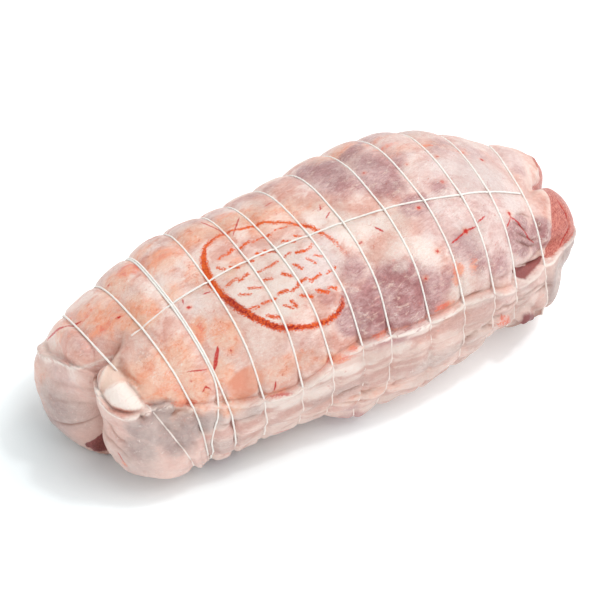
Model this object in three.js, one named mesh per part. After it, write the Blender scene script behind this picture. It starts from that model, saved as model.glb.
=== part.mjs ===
// Boned and rolled leg of lamb, tied with white string.
// Millimetres. X runs along the roll towards the thick cut end, Y across it, Z up.
// The roll rests on z = 0 and its middle stands over the origin.
import * as THREE from 'three';

// ---- driving sizes of the roll ----
// half width and half height of the roll along its length
const rollProfile = [
  { x: -105, halfWidth: 43.5, halfHeight: 39 },
  { x: -92, halfWidth: 48.5, halfHeight: 43.5 },
  { x: -74, halfWidth: 52, halfHeight: 46.5 },
  { x: -38, halfWidth: 55.5, halfHeight: 49.5 },
  { x: 0, halfWidth: 59.5, halfHeight: 51.5 },
  { x: 34, halfWidth: 61.5, halfHeight: 53.2 },
  { x: 56, halfWidth: 60.5, halfHeight: 53.8 },
  { x: 76, halfWidth: 58, halfHeight: 52.8 },
  { x: 96, halfWidth: 52.5, halfHeight: 48.3 },
  { x: 122, halfWidth: 44, halfHeight: 39.5 },
];
const sectionSquareness = 2.35;
const restSink = 2;
const leftCapLength = 20;
const rightCapLength = 18;
const leftPoleTurn = 0.5;
// moves the roll so that the middle of its outline stands over the origin
const toMiddle = { x: -4.7, y: 1.46 };

// ---- string ties round the roll: yaw and lean in degrees ----
const ties = [
  { name: 'tie_01', x: -105, yaw: -7, lean: -21, pull: 0, slack: 1.1, under: 0.75 },
  { name: 'tie_02', x: -92, yaw: -5, lean: -9, pull: 0, slack: 0.4, under: 0.5 },
  { name: 'tie_03', x: -75.4, yaw: -1.5, lean: -8, pull: -13 },
  { name: 'tie_04', x: -73.7, yaw: -1.5, lean: -8, pull: 0 },
  { name: 'tie_05', x: -55.5, yaw: 0, lean: -5, pull: 0 },
  { name: 'tie_06', x: -36, yaw: -0.5, lean: -2, pull: 0 },
  { name: 'tie_07', x: -21, yaw: -2, lean: -2, pull: 0 },
  { name: 'tie_08', x: -4.5, yaw: -1.5, lean: 0, pull: 0 },
  { name: 'tie_09', x: 12, yaw: 0.3, lean: 2, pull: 0 },
  { name: 'tie_10', x: 34.5, yaw: 0.5, lean: 0.7, pull: 0 },
  { name: 'tie_11', x: 55, yaw: 0.5, lean: 0.5, pull: 0 },
  { name: 'tie_12', x: 76, yaw: 2, lean: 0, pull: 0 },
  { name: 'tie_13', x: 96, yaw: 5, lean: -0.5, pull: 0, slack: 0.5, under: 0.1, over: 0.3 },
  { name: 'tie_14', x: 122, yaw: 8.5, lean: -1.5, pull: 0, slack: 0.4, under: 0.1 },
];
const stringRadius = 0.65;
const stringGap = 0.35;
const knotRadius = 1.5;
const longStart = -99.5;
const pullFrom = 146;
const pullFull = 196;
const pullBackFrom = 262;
const pullBackTo = 330;

// ---- where the lengthwise string and the flap edge lie, in degrees round the roll ----
const longStringLine = [
  { x: -105, angle: 103 },
  { x: -92, angle: 102 },
  { x: -74, angle: 99.5 },
  { x: -36, angle: 96.5 },
  { x: -4, angle: 98.8 },
  { x: 34, angle: 104.5 },
  { x: 56, angle: 109.5 },
  { x: 77, angle: 113 },
  { x: 122, angle: 111 },
];
const flapEdgeLine = [
  { x: -98, angle: 156 },
  { x: -69, angle: 167.5 },
  { x: -37, angle: 173.5 },
  { x: -12, angle: 163 },
  { x: 34, angle: 165 },
  { x: 64, angle: 164 },
  { x: 96, angle: 169.5 },
  { x: 122, angle: 162 },
];

// ---- fleshy lobes that swell out of the two ends ----
const leftLobes = [
  { centre: [-110, 16, 34], size: [30, 33, 41] },
  { centre: [-97, -22.5, 34], size: [29, 27.5, 28] },
  { centre: [-106, 2, 11], size: [24, 13, 13] },
];
const rightLobes = [
  { centre: [113, 14, 54], size: [38, 26, 26] },
  { centre: [113, -12, 46], size: [38, 28, 31] },
  { centre: [103, -17, 32], size: [35.5, 33, 30] },
];
// where the roll swells or draws in beyond its even section
const swellings = [
  { x: -79, angle: 222, height: 2.5, lengthwise: 11, around: 13 },
  { x: -3, angle: 222, height: 4.5, lengthwise: 12, around: 12 },
  { x: -35, angle: 222, height: -2.5, lengthwise: 38, around: 26 },
  { x: 80, angle: 222, height: -2, lengthwise: 38, around: 26 },
  { x: -58, angle: 50, height: 3.5, lengthwise: 22, around: 35 },
  { x: 45, angle: 60, height: 1.5, lengthwise: 22, around: 35 },
];

// ---- relief ----
const swellPerGap = 0.1;
const grooveTop = 0.9;
const grooveSide = 2.3;
const grooveWidth = 2.4;
const lengthGroove = 1.0;
const flapRise = 2.2;
const leftCreaseDepth = 13;
const leftCreaseWidth = 5;
const creaseFoot = 277;
const leftCreaseLine = [
  { z: 5, y: -8 },
  { z: 21, y: -10 },
  { z: 40, y: -15 },
  { z: 61, y: -17 },
  { z: 76, y: -13 },
  { z: 90, y: -9 },
];
const rightCreaseDepth = 5;
const pocketDepth = 4.5;

const degree = Math.PI / 180;

function clamp(value, low, high) {
  return Math.min(high, Math.max(low, value));
}

function ease(from, to, value) {
  const t = clamp((value - from) / (to - from), 0, 1);
  return t * t * (3 - 2 * t);
}

function bell(value) {
  return Math.exp(-value * value);
}

// smooth curve through the rows of a table
function follow(rows, key, out, at) {
  const last = rows.length - 1;
  const v = clamp(at, rows[0][key], rows[last][key]);
  let i = 0;
  while (i < last - 1 && v > rows[i + 1][key]) {
    i += 1;
  }
  const slope = (a, b) => (rows[b][out] - rows[a][out]) / (rows[b][key] - rows[a][key]);
  const span = rows[i + 1][key] - rows[i][key];
  const m0 = slope(Math.max(i - 1, 0), i + 1) * span;
  const m1 = slope(i, Math.min(i + 2, last)) * span;
  const t = (v - rows[i][key]) / span;
  const a = rows[i][out];
  const b = rows[i + 1][out];
  return a + m0 * t + (3 * (b - a) - 2 * m0 - m1) * t * t + (m0 + m1 - 2 * (b - a)) * t * t * t;
}

function lerpTies(key, at) {
  let i = 0;
  while (i < ties.length - 2 && at > ties[i + 1].x) {
    i += 1;
  }
  const t = clamp((at - ties[i].x) / (ties[i + 1].x - ties[i].x), 0, 1);
  return ties[i][key] + (ties[i + 1][key] - ties[i][key]) * t;
}

// rounds the larger of two values over a width k
function softMax(a, b, k) {
  const h = clamp(0.5 + (0.5 * (a - b)) / k, 0, 1);
  return b + (a - b) * h + k * h * (1 - h);
}

// how far a ray from inside runs until it leaves an ellipsoid
function rayExit(origin, dir, lobe) {
  let aa = 0;
  let bb = 0;
  let cc = -1;
  for (let i = 0; i < 3; i += 1) {
    const o = (origin[i] - lobe.centre[i]) / lobe.size[i];
    const d = dir[i] / lobe.size[i];
    aa += d * d;
    bb += o * d;
    cc += o * o;
  }
  const root = bb * bb - aa * cc;
  return root > 0 ? Math.max(0, (-bb + Math.sqrt(root)) / aa) : 0;
}

// string position along the roll at one angle, angles counted from +Y over the top
function tieX(tie, angle) {
  const a = ((angle % 360) + 360) % 360;
  return tie.x + tie.pull * ease(pullFrom, pullFull, a) * (1 - ease(pullBackFrom, pullBackTo, a));
}

// relief of the strings: pressed in at each string and swollen between two
function tieRelief(x, angle) {
  const a = ((angle % 360) + 360) % 360;
  let nearest = 1e9;
  let swell = 0;
  for (let i = 0; i < ties.length; i += 1) {
    const here = tieX(ties[i], a);
    nearest = Math.min(nearest, Math.abs(x - here));
    if (i < ties.length - 1) {
      const gap = tieX(ties[i + 1], a) - here;
      const t = (x - here) / gap;
      if (t > 0 && t < 1) {
        swell = swellPerGap * gap * Math.pow(4 * t * (1 - t), 0.8);
      }
    }
  }
  const low = ease(200, 245, a) * (1 - ease(300, 345, a));
  const side = ease(130, 175, a) * (1 - ease(350, 360, a)) + (1 - ease(0, 45, a));
  const groove = grooveTop + (grooveSide - grooveTop) * clamp(side, 0, 1);
  return swell * (1 - 0.6 * low) - groove * bell(nearest / grooveWidth);
}

// the flap edge wraps the left end at this height
function leftLip(y) {
  if (y < -14) {
    return 57;
  }
  return 54 + 0.5 * Math.max(0, 27 - y);
}

function relief(ringX, capAngle, angle, p) {
  const a = ((angle % 360) + 360) % 360;
  const [x, y, z] = p;
  const inTube = capAngle === 0;
  const around = follow(rollProfile, 'x', 'halfWidth', ringX) * degree;
  let rise = 0;
  if (inTube) {
    rise += tieRelief(ringX, a);
    const away = (a - follow(longStringLine, 'x', 'angle', ringX)) * around;
    rise -= lengthGroove * bell(away / 1.9);
  } else {
    rise -= (grooveTop + 0.6) * bell((Math.abs(capAngle) * 45 * degree) / 2.4);
  }
  // flap edge: below it the fat stands proud, above it lies a shallow valley
  let below = (a - follow(flapEdgeLine, 'x', 'angle', ringX)) * around;
  let reach = 1 - ease(235, 262, a);
  if (ringX < -98) {
    below = leftLip(y) - z;
    reach = (1 - ease(30, 42, y)) * ease(-4, 8, z);
  }
  if (ringX >= 122 && !inTube) {
    reach *= 1 - ease(40, 70, capAngle);
  }
  rise += (flapRise * ease(-0.8, 0.8, below) - 0.7 * bell((below + 1.6) / 2)) * reach;
  // lengthwise folds of the flap
  if (inTube && below > 0) {
    rise += 0.8 * Math.cos(below / 2.3 + ringX * 0.03) * ease(3, 8, below) * reach;
  }
  // deep crease between the two lobes of the left end
  if (ringX < -90) {
    const off = y - follow(leftCreaseLine, 'z', 'y', z);
    const deep = ease(-99, -122, x) * ease(4, 24, z);
    rise -= leftCreaseDepth * deep * Math.exp(-Math.pow(Math.abs(off) / leftCreaseWidth, 1.3));
  }
  // notch between the two cut muscles of the right end
  if (ringX > 110) {
    const off = y + 11.5 - (x - 125.5) * 0.65;
    rise -= rightCreaseDepth * ease(116, 128, x) * ease(38, 56, z) * bell(off / 4);
  }
  // open pocket between the muscle and the flap
  if (ringX > 80) {
    const along = ease(86, 94, x) * (1 - ease(122, 140, x));
    rise -= pocketDepth * along * bell((below + 5) / 3.6);
  }
  for (const bulge of swellings) {
    const u = (ringX - bulge.x) / bulge.lengthwise;
    const v = (a - bulge.angle) / bulge.around;
    rise += bulge.height * Math.exp(-u * u - v * v);
  }
  return rise;
}

// point of the meat: ringX along the roll, capAngle turned into an end, angle round it
function meatPoint(ringX, capAngle, angle, withRelief = 1) {
  const halfWidth = follow(rollProfile, 'x', 'halfWidth', ringX);
  const halfHeight = follow(rollProfile, 'x', 'halfHeight', ringX);
  const yaw = Math.tan(lerpTies('yaw', ringX) * degree);
  const lean = Math.tan(lerpTies('lean', ringX) * degree);
  const c = Math.cos(angle * degree);
  const s = Math.sin(angle * degree);
  const ca = Math.cos(capAngle * degree);
  const sa = Math.sin(capAngle * degree);
  const poleTurn = sa < 0 ? leftPoleTurn * sa : 0;
  const origin = [ringX, 0, halfHeight + 0.3];
  const dir = [ca * (yaw * c + lean * s) + sa, ca * c + poleTurn, ca * s];
  const heightHere = s < 0 ? halfHeight + restSink : halfHeight;
  const n = sectionSquareness;
  const around = Math.pow(Math.pow(Math.abs(c) / halfWidth, n) + Math.pow(Math.abs(s) / heightHere, n), -1 / n);
  const cap = sa < 0 ? leftCapLength : rightCapLength;
  let r = Math.pow(Math.pow(ca / around, 2.2) + Math.pow(Math.abs(sa) / cap, 2.2), -1 / 2.2);
  const lobes = (list) => list.map((lobe) => rayExit(origin, dir, lobe)).reduce((u, v) => softMax(u, v, 1.5));
  r = softMax(r, lobes(leftLobes), 4);
  r = softMax(r, lobes(rightLobes), 4);
  const length = Math.hypot(...dir);
  const base = origin.map((o, i) => o + r * dir[i]);
  const rise = withRelief ? relief(ringX, capAngle, angle, base) : 0;
  const p = origin.map((o, i) => o + (r + rise / length) * dir[i]);
  // rest on the table: flat underneath, hollow where a string passes
  let clear = 0;
  if (capAngle === 0) {
    const nearest = Math.min(...ties.map((tie) => Math.abs(ringX - tieX(tie, angle))));
    clear = 2.4 * bell(nearest / 3.2);
  }
  p[2] = softMax(p[2], clear, 2.5);
  return new THREE.Vector3(...p);
}

// ---- rows and columns of the meat's surface ----
function ringList() {
  const rings = [];
  for (const capAngle of [-79, -66, -53, -41, -30, -20, -11.5, -4.5]) {
    rings.push({ cap: capAngle, at: () => ties[0].x });
  }
  ties.forEach((tie, i) => {
    rings.push({ cap: 0, tie, at: (angle) => tieX(tie, angle) });
    if (i === ties.length - 1) {
      return;
    }
    const next = ties[i + 1];
    const gap = next.x - tie.x;
    const edge = 2.8 / gap;
    let steps = [0.15, 0.5, 0.85];
    if (gap > 3) {
      steps = gap > 15 ? [edge, 0.38, 0.62, 1 - edge] : [edge, 0.5, 1 - edge];
    }
    for (const t of steps) {
      rings.push({ cap: 0, at: (angle) => tieX(tie, angle) * (1 - t) + tieX(next, angle) * t });
    }
  });
  for (const capAngle of [4.5, 11.5, 20, 30, 41, 53, 66, 79]) {
    rings.push({ cap: capAngle, at: () => ties[ties.length - 1].x });
  }
  return rings;
}

function spread(from, to, count) {
  return Array.from({ length: count }, (_, i) => from + ((to - from) * (i + 1)) / (count + 1));
}

// columns follow the lengthwise string, the flap edge and the crease of the left end
function columnAngles(x, capAngle) {
  const long = follow(longStringLine, 'x', 'angle', x) - 7 * ease(2, 20, -capAngle);
  const edge = follow(flapEdgeLine, 'x', 'angle', x);
  return [
    long,
    long + 3,
    ...spread(long + 3, edge - 0.8, 7),
    edge - 0.8,
    edge + 0.8,
    ...spread(edge + 0.8, 240, 12),
    240,
    ...spread(240, creaseFoot, 3),
    creaseFoot,
    ...spread(creaseFoot, long + 357, 20),
    long + 357,
  ];
}

function buildGrid(rings) {
  return rings.map((ring) =>
    columnAngles(ring.at(90), ring.cap).map((angle) => meatPoint(ring.at(angle), ring.cap, angle))
  );
}

function meshFrom(points, faces, name, material) {
  const geometry = new THREE.BufferGeometry();
  geometry.setAttribute('position', new THREE.Float32BufferAttribute(points.flatMap((p) => [p.x, p.y, p.z]), 3));
  geometry.setIndex(faces);
  geometry.computeVertexNormals();
  const mesh = new THREE.Mesh(geometry, material);
  mesh.name = name;
  return mesh;
}

// closes rows of points into a body with one point at each end
function skin(rows, startPoint, endPoint) {
  const n = rows[0].length;
  const points = [...rows.flat(), startPoint, endPoint];
  const faces = [];
  for (let i = 0; i < rows.length - 1; i += 1) {
    for (let j = 0; j < n; j += 1) {
      const k = (j + 1) % n;
      const a = i * n + j;
      const b = i * n + k;
      const c = (i + 1) * n + j;
      const d = (i + 1) * n + k;
      faces.push(a, b, d, a, d, c);
    }
  }
  const start = points.length - 2;
  const end = points.length - 1;
  const lastRow = (rows.length - 1) * n;
  for (let j = 0; j < n; j += 1) {
    const k = (j + 1) % n;
    faces.push(start, k, j);
    faces.push(end, lastRow + j, lastRow + k);
  }
  return { points, faces };
}

function buildMeat(grid, material) {
  const left = meatPoint(ties[0].x, -90, 0);
  const right = meatPoint(ties[ties.length - 1].x, 90, 0);
  const { points, faces } = skin(grid, left, right);
  return meshFrom(points, faces, 'leg_meat', material);
}

// direction straight out of a closed row of points
function outward(row, centre, j) {
  const n = row.length;
  const along = row[(j + 1) % n].clone().sub(row[(j + n - 1) % n]).normalize();
  const out = row[j].clone().sub(centre);
  return out.addScaledVector(along, -out.dot(along)).normalize();
}

function middleOf(row) {
  return row.reduce((sum, p) => sum.add(p), new THREE.Vector3()).divideScalar(row.length);
}

// a taut string bridges hollows, so its path is drawn out to a convex one
function tighten(path, centre) {
  const radius = path.map((p) => p.distanceTo(centre));
  const n = path.length;
  for (let pass = 0; pass < 60; pass += 1) {
    for (let j = 0; j < n; j += 1) {
      const before = path[(j + n - 1) % n];
      const after = path[(j + 1) % n];
      const ray = path[j].clone().sub(centre).normalize();
      const chord = after.clone().sub(before);
      const middle = before.clone().sub(centre);
      // where the ray from the centre meets the chord between the two neighbours
      const side = ray.clone().multiplyScalar(ray.dot(chord)).negate().add(chord);
      const t = clamp(-side.dot(middle) / Math.max(1e-9, side.dot(chord)), 0, 1);
      const reach = before.clone().addScaledVector(chord, t).sub(centre).dot(ray);
      if (reach > radius[j]) {
        radius[j] = reach;
        path[j].copy(centre).addScaledVector(ray, reach);
      }
    }
  }
  return path;
}

// square-set string section at one point of its path
function section(at, tangent, up, radius) {
  const side = tangent.clone().cross(up).normalize();
  const top = side.clone().cross(tangent).normalize();
  return [top, side, top.clone().negate(), side.clone().negate()].map((d) =>
    at.clone().addScaledVector(d, radius)
  );
}

function buildTie(grid, ringIndex, tie, material) {
  const n = grid[0].length;
  const row = grid[ringIndex];
  const centre = middleOf(row);
  const crosses = tie !== ties[0] && tie !== ties[ties.length - 1];
  const overLong = crosses ? 2 * stringRadius + stringGap + 0.2 + (tie.over ?? 0) : 0;
  const path = row.map((p, j) => {
    const onSide = (0.4 * Math.abs(p.y)) / 55;
    const over = ease(4, 12, p.z);
    const extra = (tie.slack ?? 0) * over + (tie.under ?? 0) * (1 - over);
    const rise = stringGap + stringRadius + onSide + extra + (j === 0 ? overLong : 0);
    return p.clone().addScaledVector(outward(row, centre, j), rise);
  });
  tighten(path, centre);
  const points = path.flatMap((p, j) => {
    const tangent = path[(j + 1) % n].clone().sub(path[(j + n - 1) % n]).normalize();
    return section(p, tangent, p.clone().sub(centre), stringRadius);
  });
  const faces = [];
  for (let j = 0; j < n; j += 1) {
    for (let k = 0; k < 4; k += 1) {
      const a = j * 4 + k;
      const b = j * 4 + ((k + 1) % 4);
      const c = ((j + 1) % n) * 4 + k;
      const d = ((j + 1) % n) * 4 + ((k + 1) % 4);
      faces.push(a, b, d, a, d, c);
    }
  }
  return meshFrom(points, faces, tie.name, material);
}

// lengthwise string: tucked into the left crease, knotted beside the last tie
function buildLongString(rings, material) {
  const stops = rings
    .filter((ring) => ring.cap === 0)
    .map((ring) => ring.at(100))
    .filter((x) => x > longStart + 1 && x < 116)
    .map((x) => ({ x, radius: stringRadius }));
  stops.unshift({ x: longStart, radius: stringRadius });
  stops.push({ x: 117.2, radius: stringRadius });
  stops.push({ x: 118.1, radius: 0.85 * knotRadius });
  stops.push({ x: 119, radius: knotRadius });
  stops.push({ x: 119.9, radius: 0.7 * knotRadius });
  const path = stops.map(({ x, radius }) => {
    const angle = follow(longStringLine, 'x', 'angle', x);
    const p = meatPoint(x, 0, angle);
    const ahead = meatPoint(x + 0.5, 0, angle).sub(meatPoint(x - 0.5, 0, angle));
    const across = meatPoint(x, 0, angle - 3).sub(meatPoint(x, 0, angle + 3));
    const up = ahead.clone().cross(across).normalize();
    up.z = Math.abs(up.z);
    const inCrease = 2.2 * ease(-93, longStart, x);
    return { at: p.addScaledVector(up, stringGap + radius + inCrease), up, radius };
  });
  const rows = path.map(({ at, up, radius }, i) => {
    const before = path[Math.max(i - 1, 0)].at;
    const after = path[Math.min(i + 1, path.length - 1)].at;
    return section(at, after.clone().sub(before).normalize(), up, radius);
  });
  const last = path.length - 1;
  const { points, faces } = skin(rows, path[0].at, path[last].at);
  return meshFrom(points, faces, 'long_tie', material);
}

const group = new THREE.Group();
group.name = 'tied_leg_of_lamb';
const meatMaterial = new THREE.MeshStandardMaterial({ color: 0xd9b0a2, roughness: 0.45, metalness: 0 });
const stringMaterial = new THREE.MeshStandardMaterial({ color: 0xf4efe4, roughness: 0.8, metalness: 0 });
const rings = ringList();
const grid = buildGrid(rings);
group.add(buildMeat(grid, meatMaterial));
rings.forEach((ring, i) => {
  if (ring.tie) {
    group.add(buildTie(grid, i, ring.tie, stringMaterial));
  }
});
group.add(buildLongString(rings, stringMaterial));
group.children.forEach((piece) => piece.geometry.translate(toMiddle.x, toMiddle.y, 0));
export default group;
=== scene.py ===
import math

import bpy
import numpy as np
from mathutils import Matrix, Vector


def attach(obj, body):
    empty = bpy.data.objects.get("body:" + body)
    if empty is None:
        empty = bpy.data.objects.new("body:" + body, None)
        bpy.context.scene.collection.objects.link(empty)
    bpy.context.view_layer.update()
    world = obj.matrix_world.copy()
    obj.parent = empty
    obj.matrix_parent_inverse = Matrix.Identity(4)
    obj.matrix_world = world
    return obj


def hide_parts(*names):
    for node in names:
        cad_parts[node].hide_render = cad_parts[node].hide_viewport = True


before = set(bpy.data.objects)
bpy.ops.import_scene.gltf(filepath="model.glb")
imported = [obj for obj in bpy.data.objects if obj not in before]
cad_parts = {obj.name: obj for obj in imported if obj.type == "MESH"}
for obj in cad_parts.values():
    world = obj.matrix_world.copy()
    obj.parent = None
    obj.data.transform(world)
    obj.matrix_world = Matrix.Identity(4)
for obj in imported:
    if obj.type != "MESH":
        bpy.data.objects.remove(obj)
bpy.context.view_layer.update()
print("frame loaded")

# Shapes are worked out in millimetres: x along the roll, turn in degrees round it, counted
# from the far side over the top to the near side, and cap in degrees into either end.
millimetre = 0.001
degree = math.pi / 180


def ease(low, high, value):
    t = np.clip((value - low) / (high - low), 0.0, 1.0)
    return t * t * (3 - 2 * t)


def bell(value):
    return np.exp(-np.square(value))


def softMax(a, b, k):
    h = np.clip(0.5 + 0.5 * (a - b) / k, 0.0, 1.0)
    return b + (a - b) * h + k * h * (1 - h)


def follow(rows, at):
    keys = np.array([row[0] for row in rows], float)
    values = np.array([row[1] for row in rows], float)
    last = len(rows) - 1
    v = np.clip(at, keys[0], keys[last])
    i = np.clip(np.searchsorted(keys, v, side="left") - 1, 0, last - 1)
    before, after = np.maximum(i - 1, 0), np.minimum(i + 2, last)
    span = keys[i + 1] - keys[i]
    m0 = (values[i + 1] - values[before]) / (keys[i + 1] - keys[before]) * span
    m1 = (values[after] - values[i]) / (keys[after] - keys[i]) * span
    t = (v - keys[i]) / span
    a, b = values[i], values[i + 1]
    return a + m0 * t + (3 * (b - a) - 2 * m0 - m1) * t**2 + (m0 + m1 - 2 * (b - a)) * t**3


# large odd numbers that scatter the corners of the noise lattice: for x, y, z, seed and two rounds of mixing
scatter = (73856093, 19349663, 83492791, 9781, 1274126177, 668265263)


# lattice noise from -1 to 1, the same on every run
def noiseAt(points, size, seed):
    q = points / size
    base = np.floor(q).astype(np.int64)
    f = q - base
    f = f * f * f * (f * (f * 6 - 15) + 10)
    total = np.zeros(points.shape[:-1])
    for corner in range(8):
        step = np.array([corner & 1, corner >> 1 & 1, corner >> 2 & 1])
        cell = base + step
        key = seed * scatter[3]
        for axis in range(3):
            key = key ^ cell[..., axis] * scatter[axis]
        key = (key ^ (key >> 13)) * scatter[4] & 0x7FFFFFFF
        key = (key ^ (key >> 15)) * scatter[5] & 0x7FFFFFFF
        value = ((key >> 8) & 0xFFFF) / 32767.5 - 1
        weight = np.prod(np.where(step == 1, f, 1 - f), axis=-1)
        total += weight * value
    return total


# the part of a vector that lies across a ray
def acrossRay(vector, ray):
    return vector - (vector * ray).sum(-1, keepdims=True) * ray


# a pair of coordinates seen from axes turned by an angle
def turned(u, w, angle):
    return u * math.cos(angle) + w * math.sin(angle), w * math.cos(angle) - u * math.sin(angle)


# the roll of meat; each lobe is its middle and its half sizes
roll = {
    "halfWidth": [(-105, 43.5), (-92, 48.5), (-74, 52), (-38, 55.5), (0, 59.5), (34, 61.5), (56, 60.5),
                  (76, 58), (96, 52.5), (122, 44)],
    "halfHeight": [(-105, 39), (-92, 43.5), (-74, 46.5), (-38, 49.5), (0, 51.5), (34, 53.2), (56, 53.8),
                   (76, 52.8), (96, 48.3), (122, 39.5)],
    "squareness": 2.35,
    "restSink": 2.0,
    "leftCap": 20.0,
    "rightCap": 18.0,
    "leftPoleTurn": 0.5,
    "toMiddle": (-4.7, 1.46),
    "leftLobes": [((-110, 18, 34), (30, 31.5, 41)), ((-97, -21, 34), (29.5, 29, 28)),
                  ((-106, 3, 11), (24, 13, 13)), ((-94, -15, 59), (19.5, 12.5, 21))],
    "rightLobes": [((113, 14, 54), (38, 26, 26)), ((113, -12, 46), (38, 28, 31)),
                   ((103, -17, 32), (35.5, 33, 30))],
    # x, turn, height, lengthwise, around
    "swellings": [(-79, 222, 0.8, 11, 13), (-3, 222, 4.5, 12, 12), (-35, 222, -3.3, 38, 26),
                  (80, 222, -2, 38, 26), (-58, 50, 3.5, 22, 35), (45, 60, 1.5, 22, 35),
                  (82, 208, -3.8, 13, 14), (93, 227, -5, 15, 16), (17, 220, 1.6, 6, 10),
                  (34, 212, 2.8, 8, 14), (-63, 205, -2.5, 8, 12)],
}

# x, yaw, lean of each tie; tie 3 is pulled sideways down the near side
tieTable = [(-105, -7, -21), (-92, -5, -9), (-75.1, -1.5, -8), (-74.0, -1.5, -8), (-55.5, 0, -5),
            (-36, -0.5, -2), (-21, -2, -2), (-4.5, -1.5, 0), (12, 0.3, 2), (34.5, 0.5, 0.7),
            (55, 0.5, 0.5), (76, 2, 0), (96, 5, -0.5), (122, 8.5, -1.5)]
tieXs = [row[0] for row in tieTable]
pulledTie = {"index": 2, "pull": -13.0, "from": 146, "full": 196, "backFrom": 262, "backTo": 330}

# turn of the long string and of the flap's edge along the roll
longStringLine = [(-105, 103), (-92, 102), (-74, 99.5), (-36, 96.5), (-4, 98.8), (34, 104.5), (56, 109.5),
                  (77, 113), (122, 111)]
flapEdgeLine = [(-98, 156), (-69, 167.5), (-37, 173.5), (-12, 163), (34, 165), (64, 164), (96, 169.5),
                (122, 162)]
# how strongly the flap's edge is painted along the roll: white fat with painted light on it, and the partly
# painted shade under it
seamShows = [(-105, 0.9), (-92, 0.4), (-74, 0.5), (-50, 0.6), (-36, 0.9), (-10, 0.7), (12, 1.0),
             (40, 1.0), (60, 0.7), (80, 0.5), (122, 0.4)]
# z and y of the crease between the two lobes of the left end
leftCreaseLine = [(5, -5), (21, -6.5), (40, -10), (61, -12), (76, -8), (86, -4), (94, 0)]


def tieX(index, turn):
    a = np.mod(turn, 360)
    here = np.full(np.shape(turn), float(tieXs[index]))
    if index == pulledTie["index"]:
        out = ease(pulledTie["from"], pulledTie["full"], a)
        back = 1 - ease(pulledTie["backFrom"], pulledTie["backTo"], a)
        here = here + pulledTie["pull"] * out * back
    return here


def nearestTie(x, turn):
    return np.min([np.abs(x - tieX(i, turn)) for i in range(len(tieXs))], axis=0)


relief = {
    "swellPerGap": 0.1,
    "grooveTop": 0.55,
    "grooveSide": 2.0,
    "grooveWidth": 1.7,
    "lengthGroove": 0.5,
    "lengthGrooveWidth": 1.9,
    "heldWidth": 5,
    "endGroove": 0.6,
    "endGrooveWidth": 2.4,
    "endRadius": 45,
    "flapRise": 2.2,
    "foldHeight": 0.8,
    "foldSpacing": 2.3,
    "leftCreaseDepth": 13.0,
    "leftCreaseWidth": 5.0,
    "rightCreaseDepth": 5.0,
    "rightCreaseWidth": 4,
    "pocketDepth": 4.5,
    "pocketWidth": 3.6,
    "pocketBelow": 5,
    "floorClear": 2.4,
    "floorClearWidth": 3.2,
}


# pressed in at each string and swollen between two
def tieRelief(x, turn):
    a = np.mod(turn, 360)
    swell = np.zeros(np.shape(x))
    for i in range(len(tieXs) - 1):
        here = tieX(i, a)
        gap = tieX(i + 1, a) - here
        t = (x - here) / gap
        inside = (t > 0) & (t < 1)
        lift = relief["swellPerGap"] * gap * np.power(np.clip(4 * t * (1 - t), 0, 1), 0.6)
        swell = np.where(inside, lift, swell)
    low = ease(200, 245, a) * (1 - ease(300, 345, a))
    side = ease(130, 175, a) * (1 - ease(350, 360, a)) + (1 - ease(0, 45, a))
    groove = relief["grooveTop"] + (relief["grooveSide"] - relief["grooveTop"]) * np.clip(side, 0, 1)
    flatTop = ease(60, 85, a) * (1 - ease(165, 190, a))
    away = (a - follow(longStringLine, x)) * follow(roll["halfWidth"], x) * degree
    held = 0.8 * bell(away / relief["heldWidth"])
    edge = follow(flapEdgeLine, x)
    wrapped = ease(edge - 2, edge + 4, a) * (1 - ease(255, 280, a)) * ease(-64, -50, x)
    swell = swell * (1 - 0.6 * low) * (1 - 0.45 * flatTop) * (1 - held) * (1 - 0.4 * wrapped)
    return swell - groove * (1 - 0.6 * wrapped) * bell(nearestTie(x, a) / relief["grooveWidth"])


# height of the flap's edge on the left end
def leftLip(y):
    nearLobe = 62.5 + 0.6 * np.maximum(0, y + 29) + 0.6 * np.maximum(0, -37 - y)
    farLobe = 56 + 0.5 * np.maximum(0, 25 - y) - 0.3 * np.maximum(0, y - 25)
    return np.where(y < -11, nearLobe, farLobe)


# how far below the flap's edge a place lies, in mm, and how much of the flap is there
def flapDepth(ringX, cap, turn, place):
    a = np.mod(turn, 360)
    around = follow(roll["halfWidth"], ringX) * degree
    below = (a - follow(flapEdgeLine, ringX)) * around
    reach = 1 - ease(235, 262, a)
    y, z = place[..., 1], place[..., 2]
    left = ringX < -98
    below = np.where(left, leftLip(y) - z, below)
    reach = np.where(left, (1 - ease(29, 39, y)) * ease(-4, 8, z), reach)
    onRight = (1 - 0.5 * ease(4, 26, cap)) * (1 - ease(40, 70, cap))
    reach = np.where((ringX >= 122) & (cap > 0), reach * onRight, reach)
    return below, reach


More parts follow.
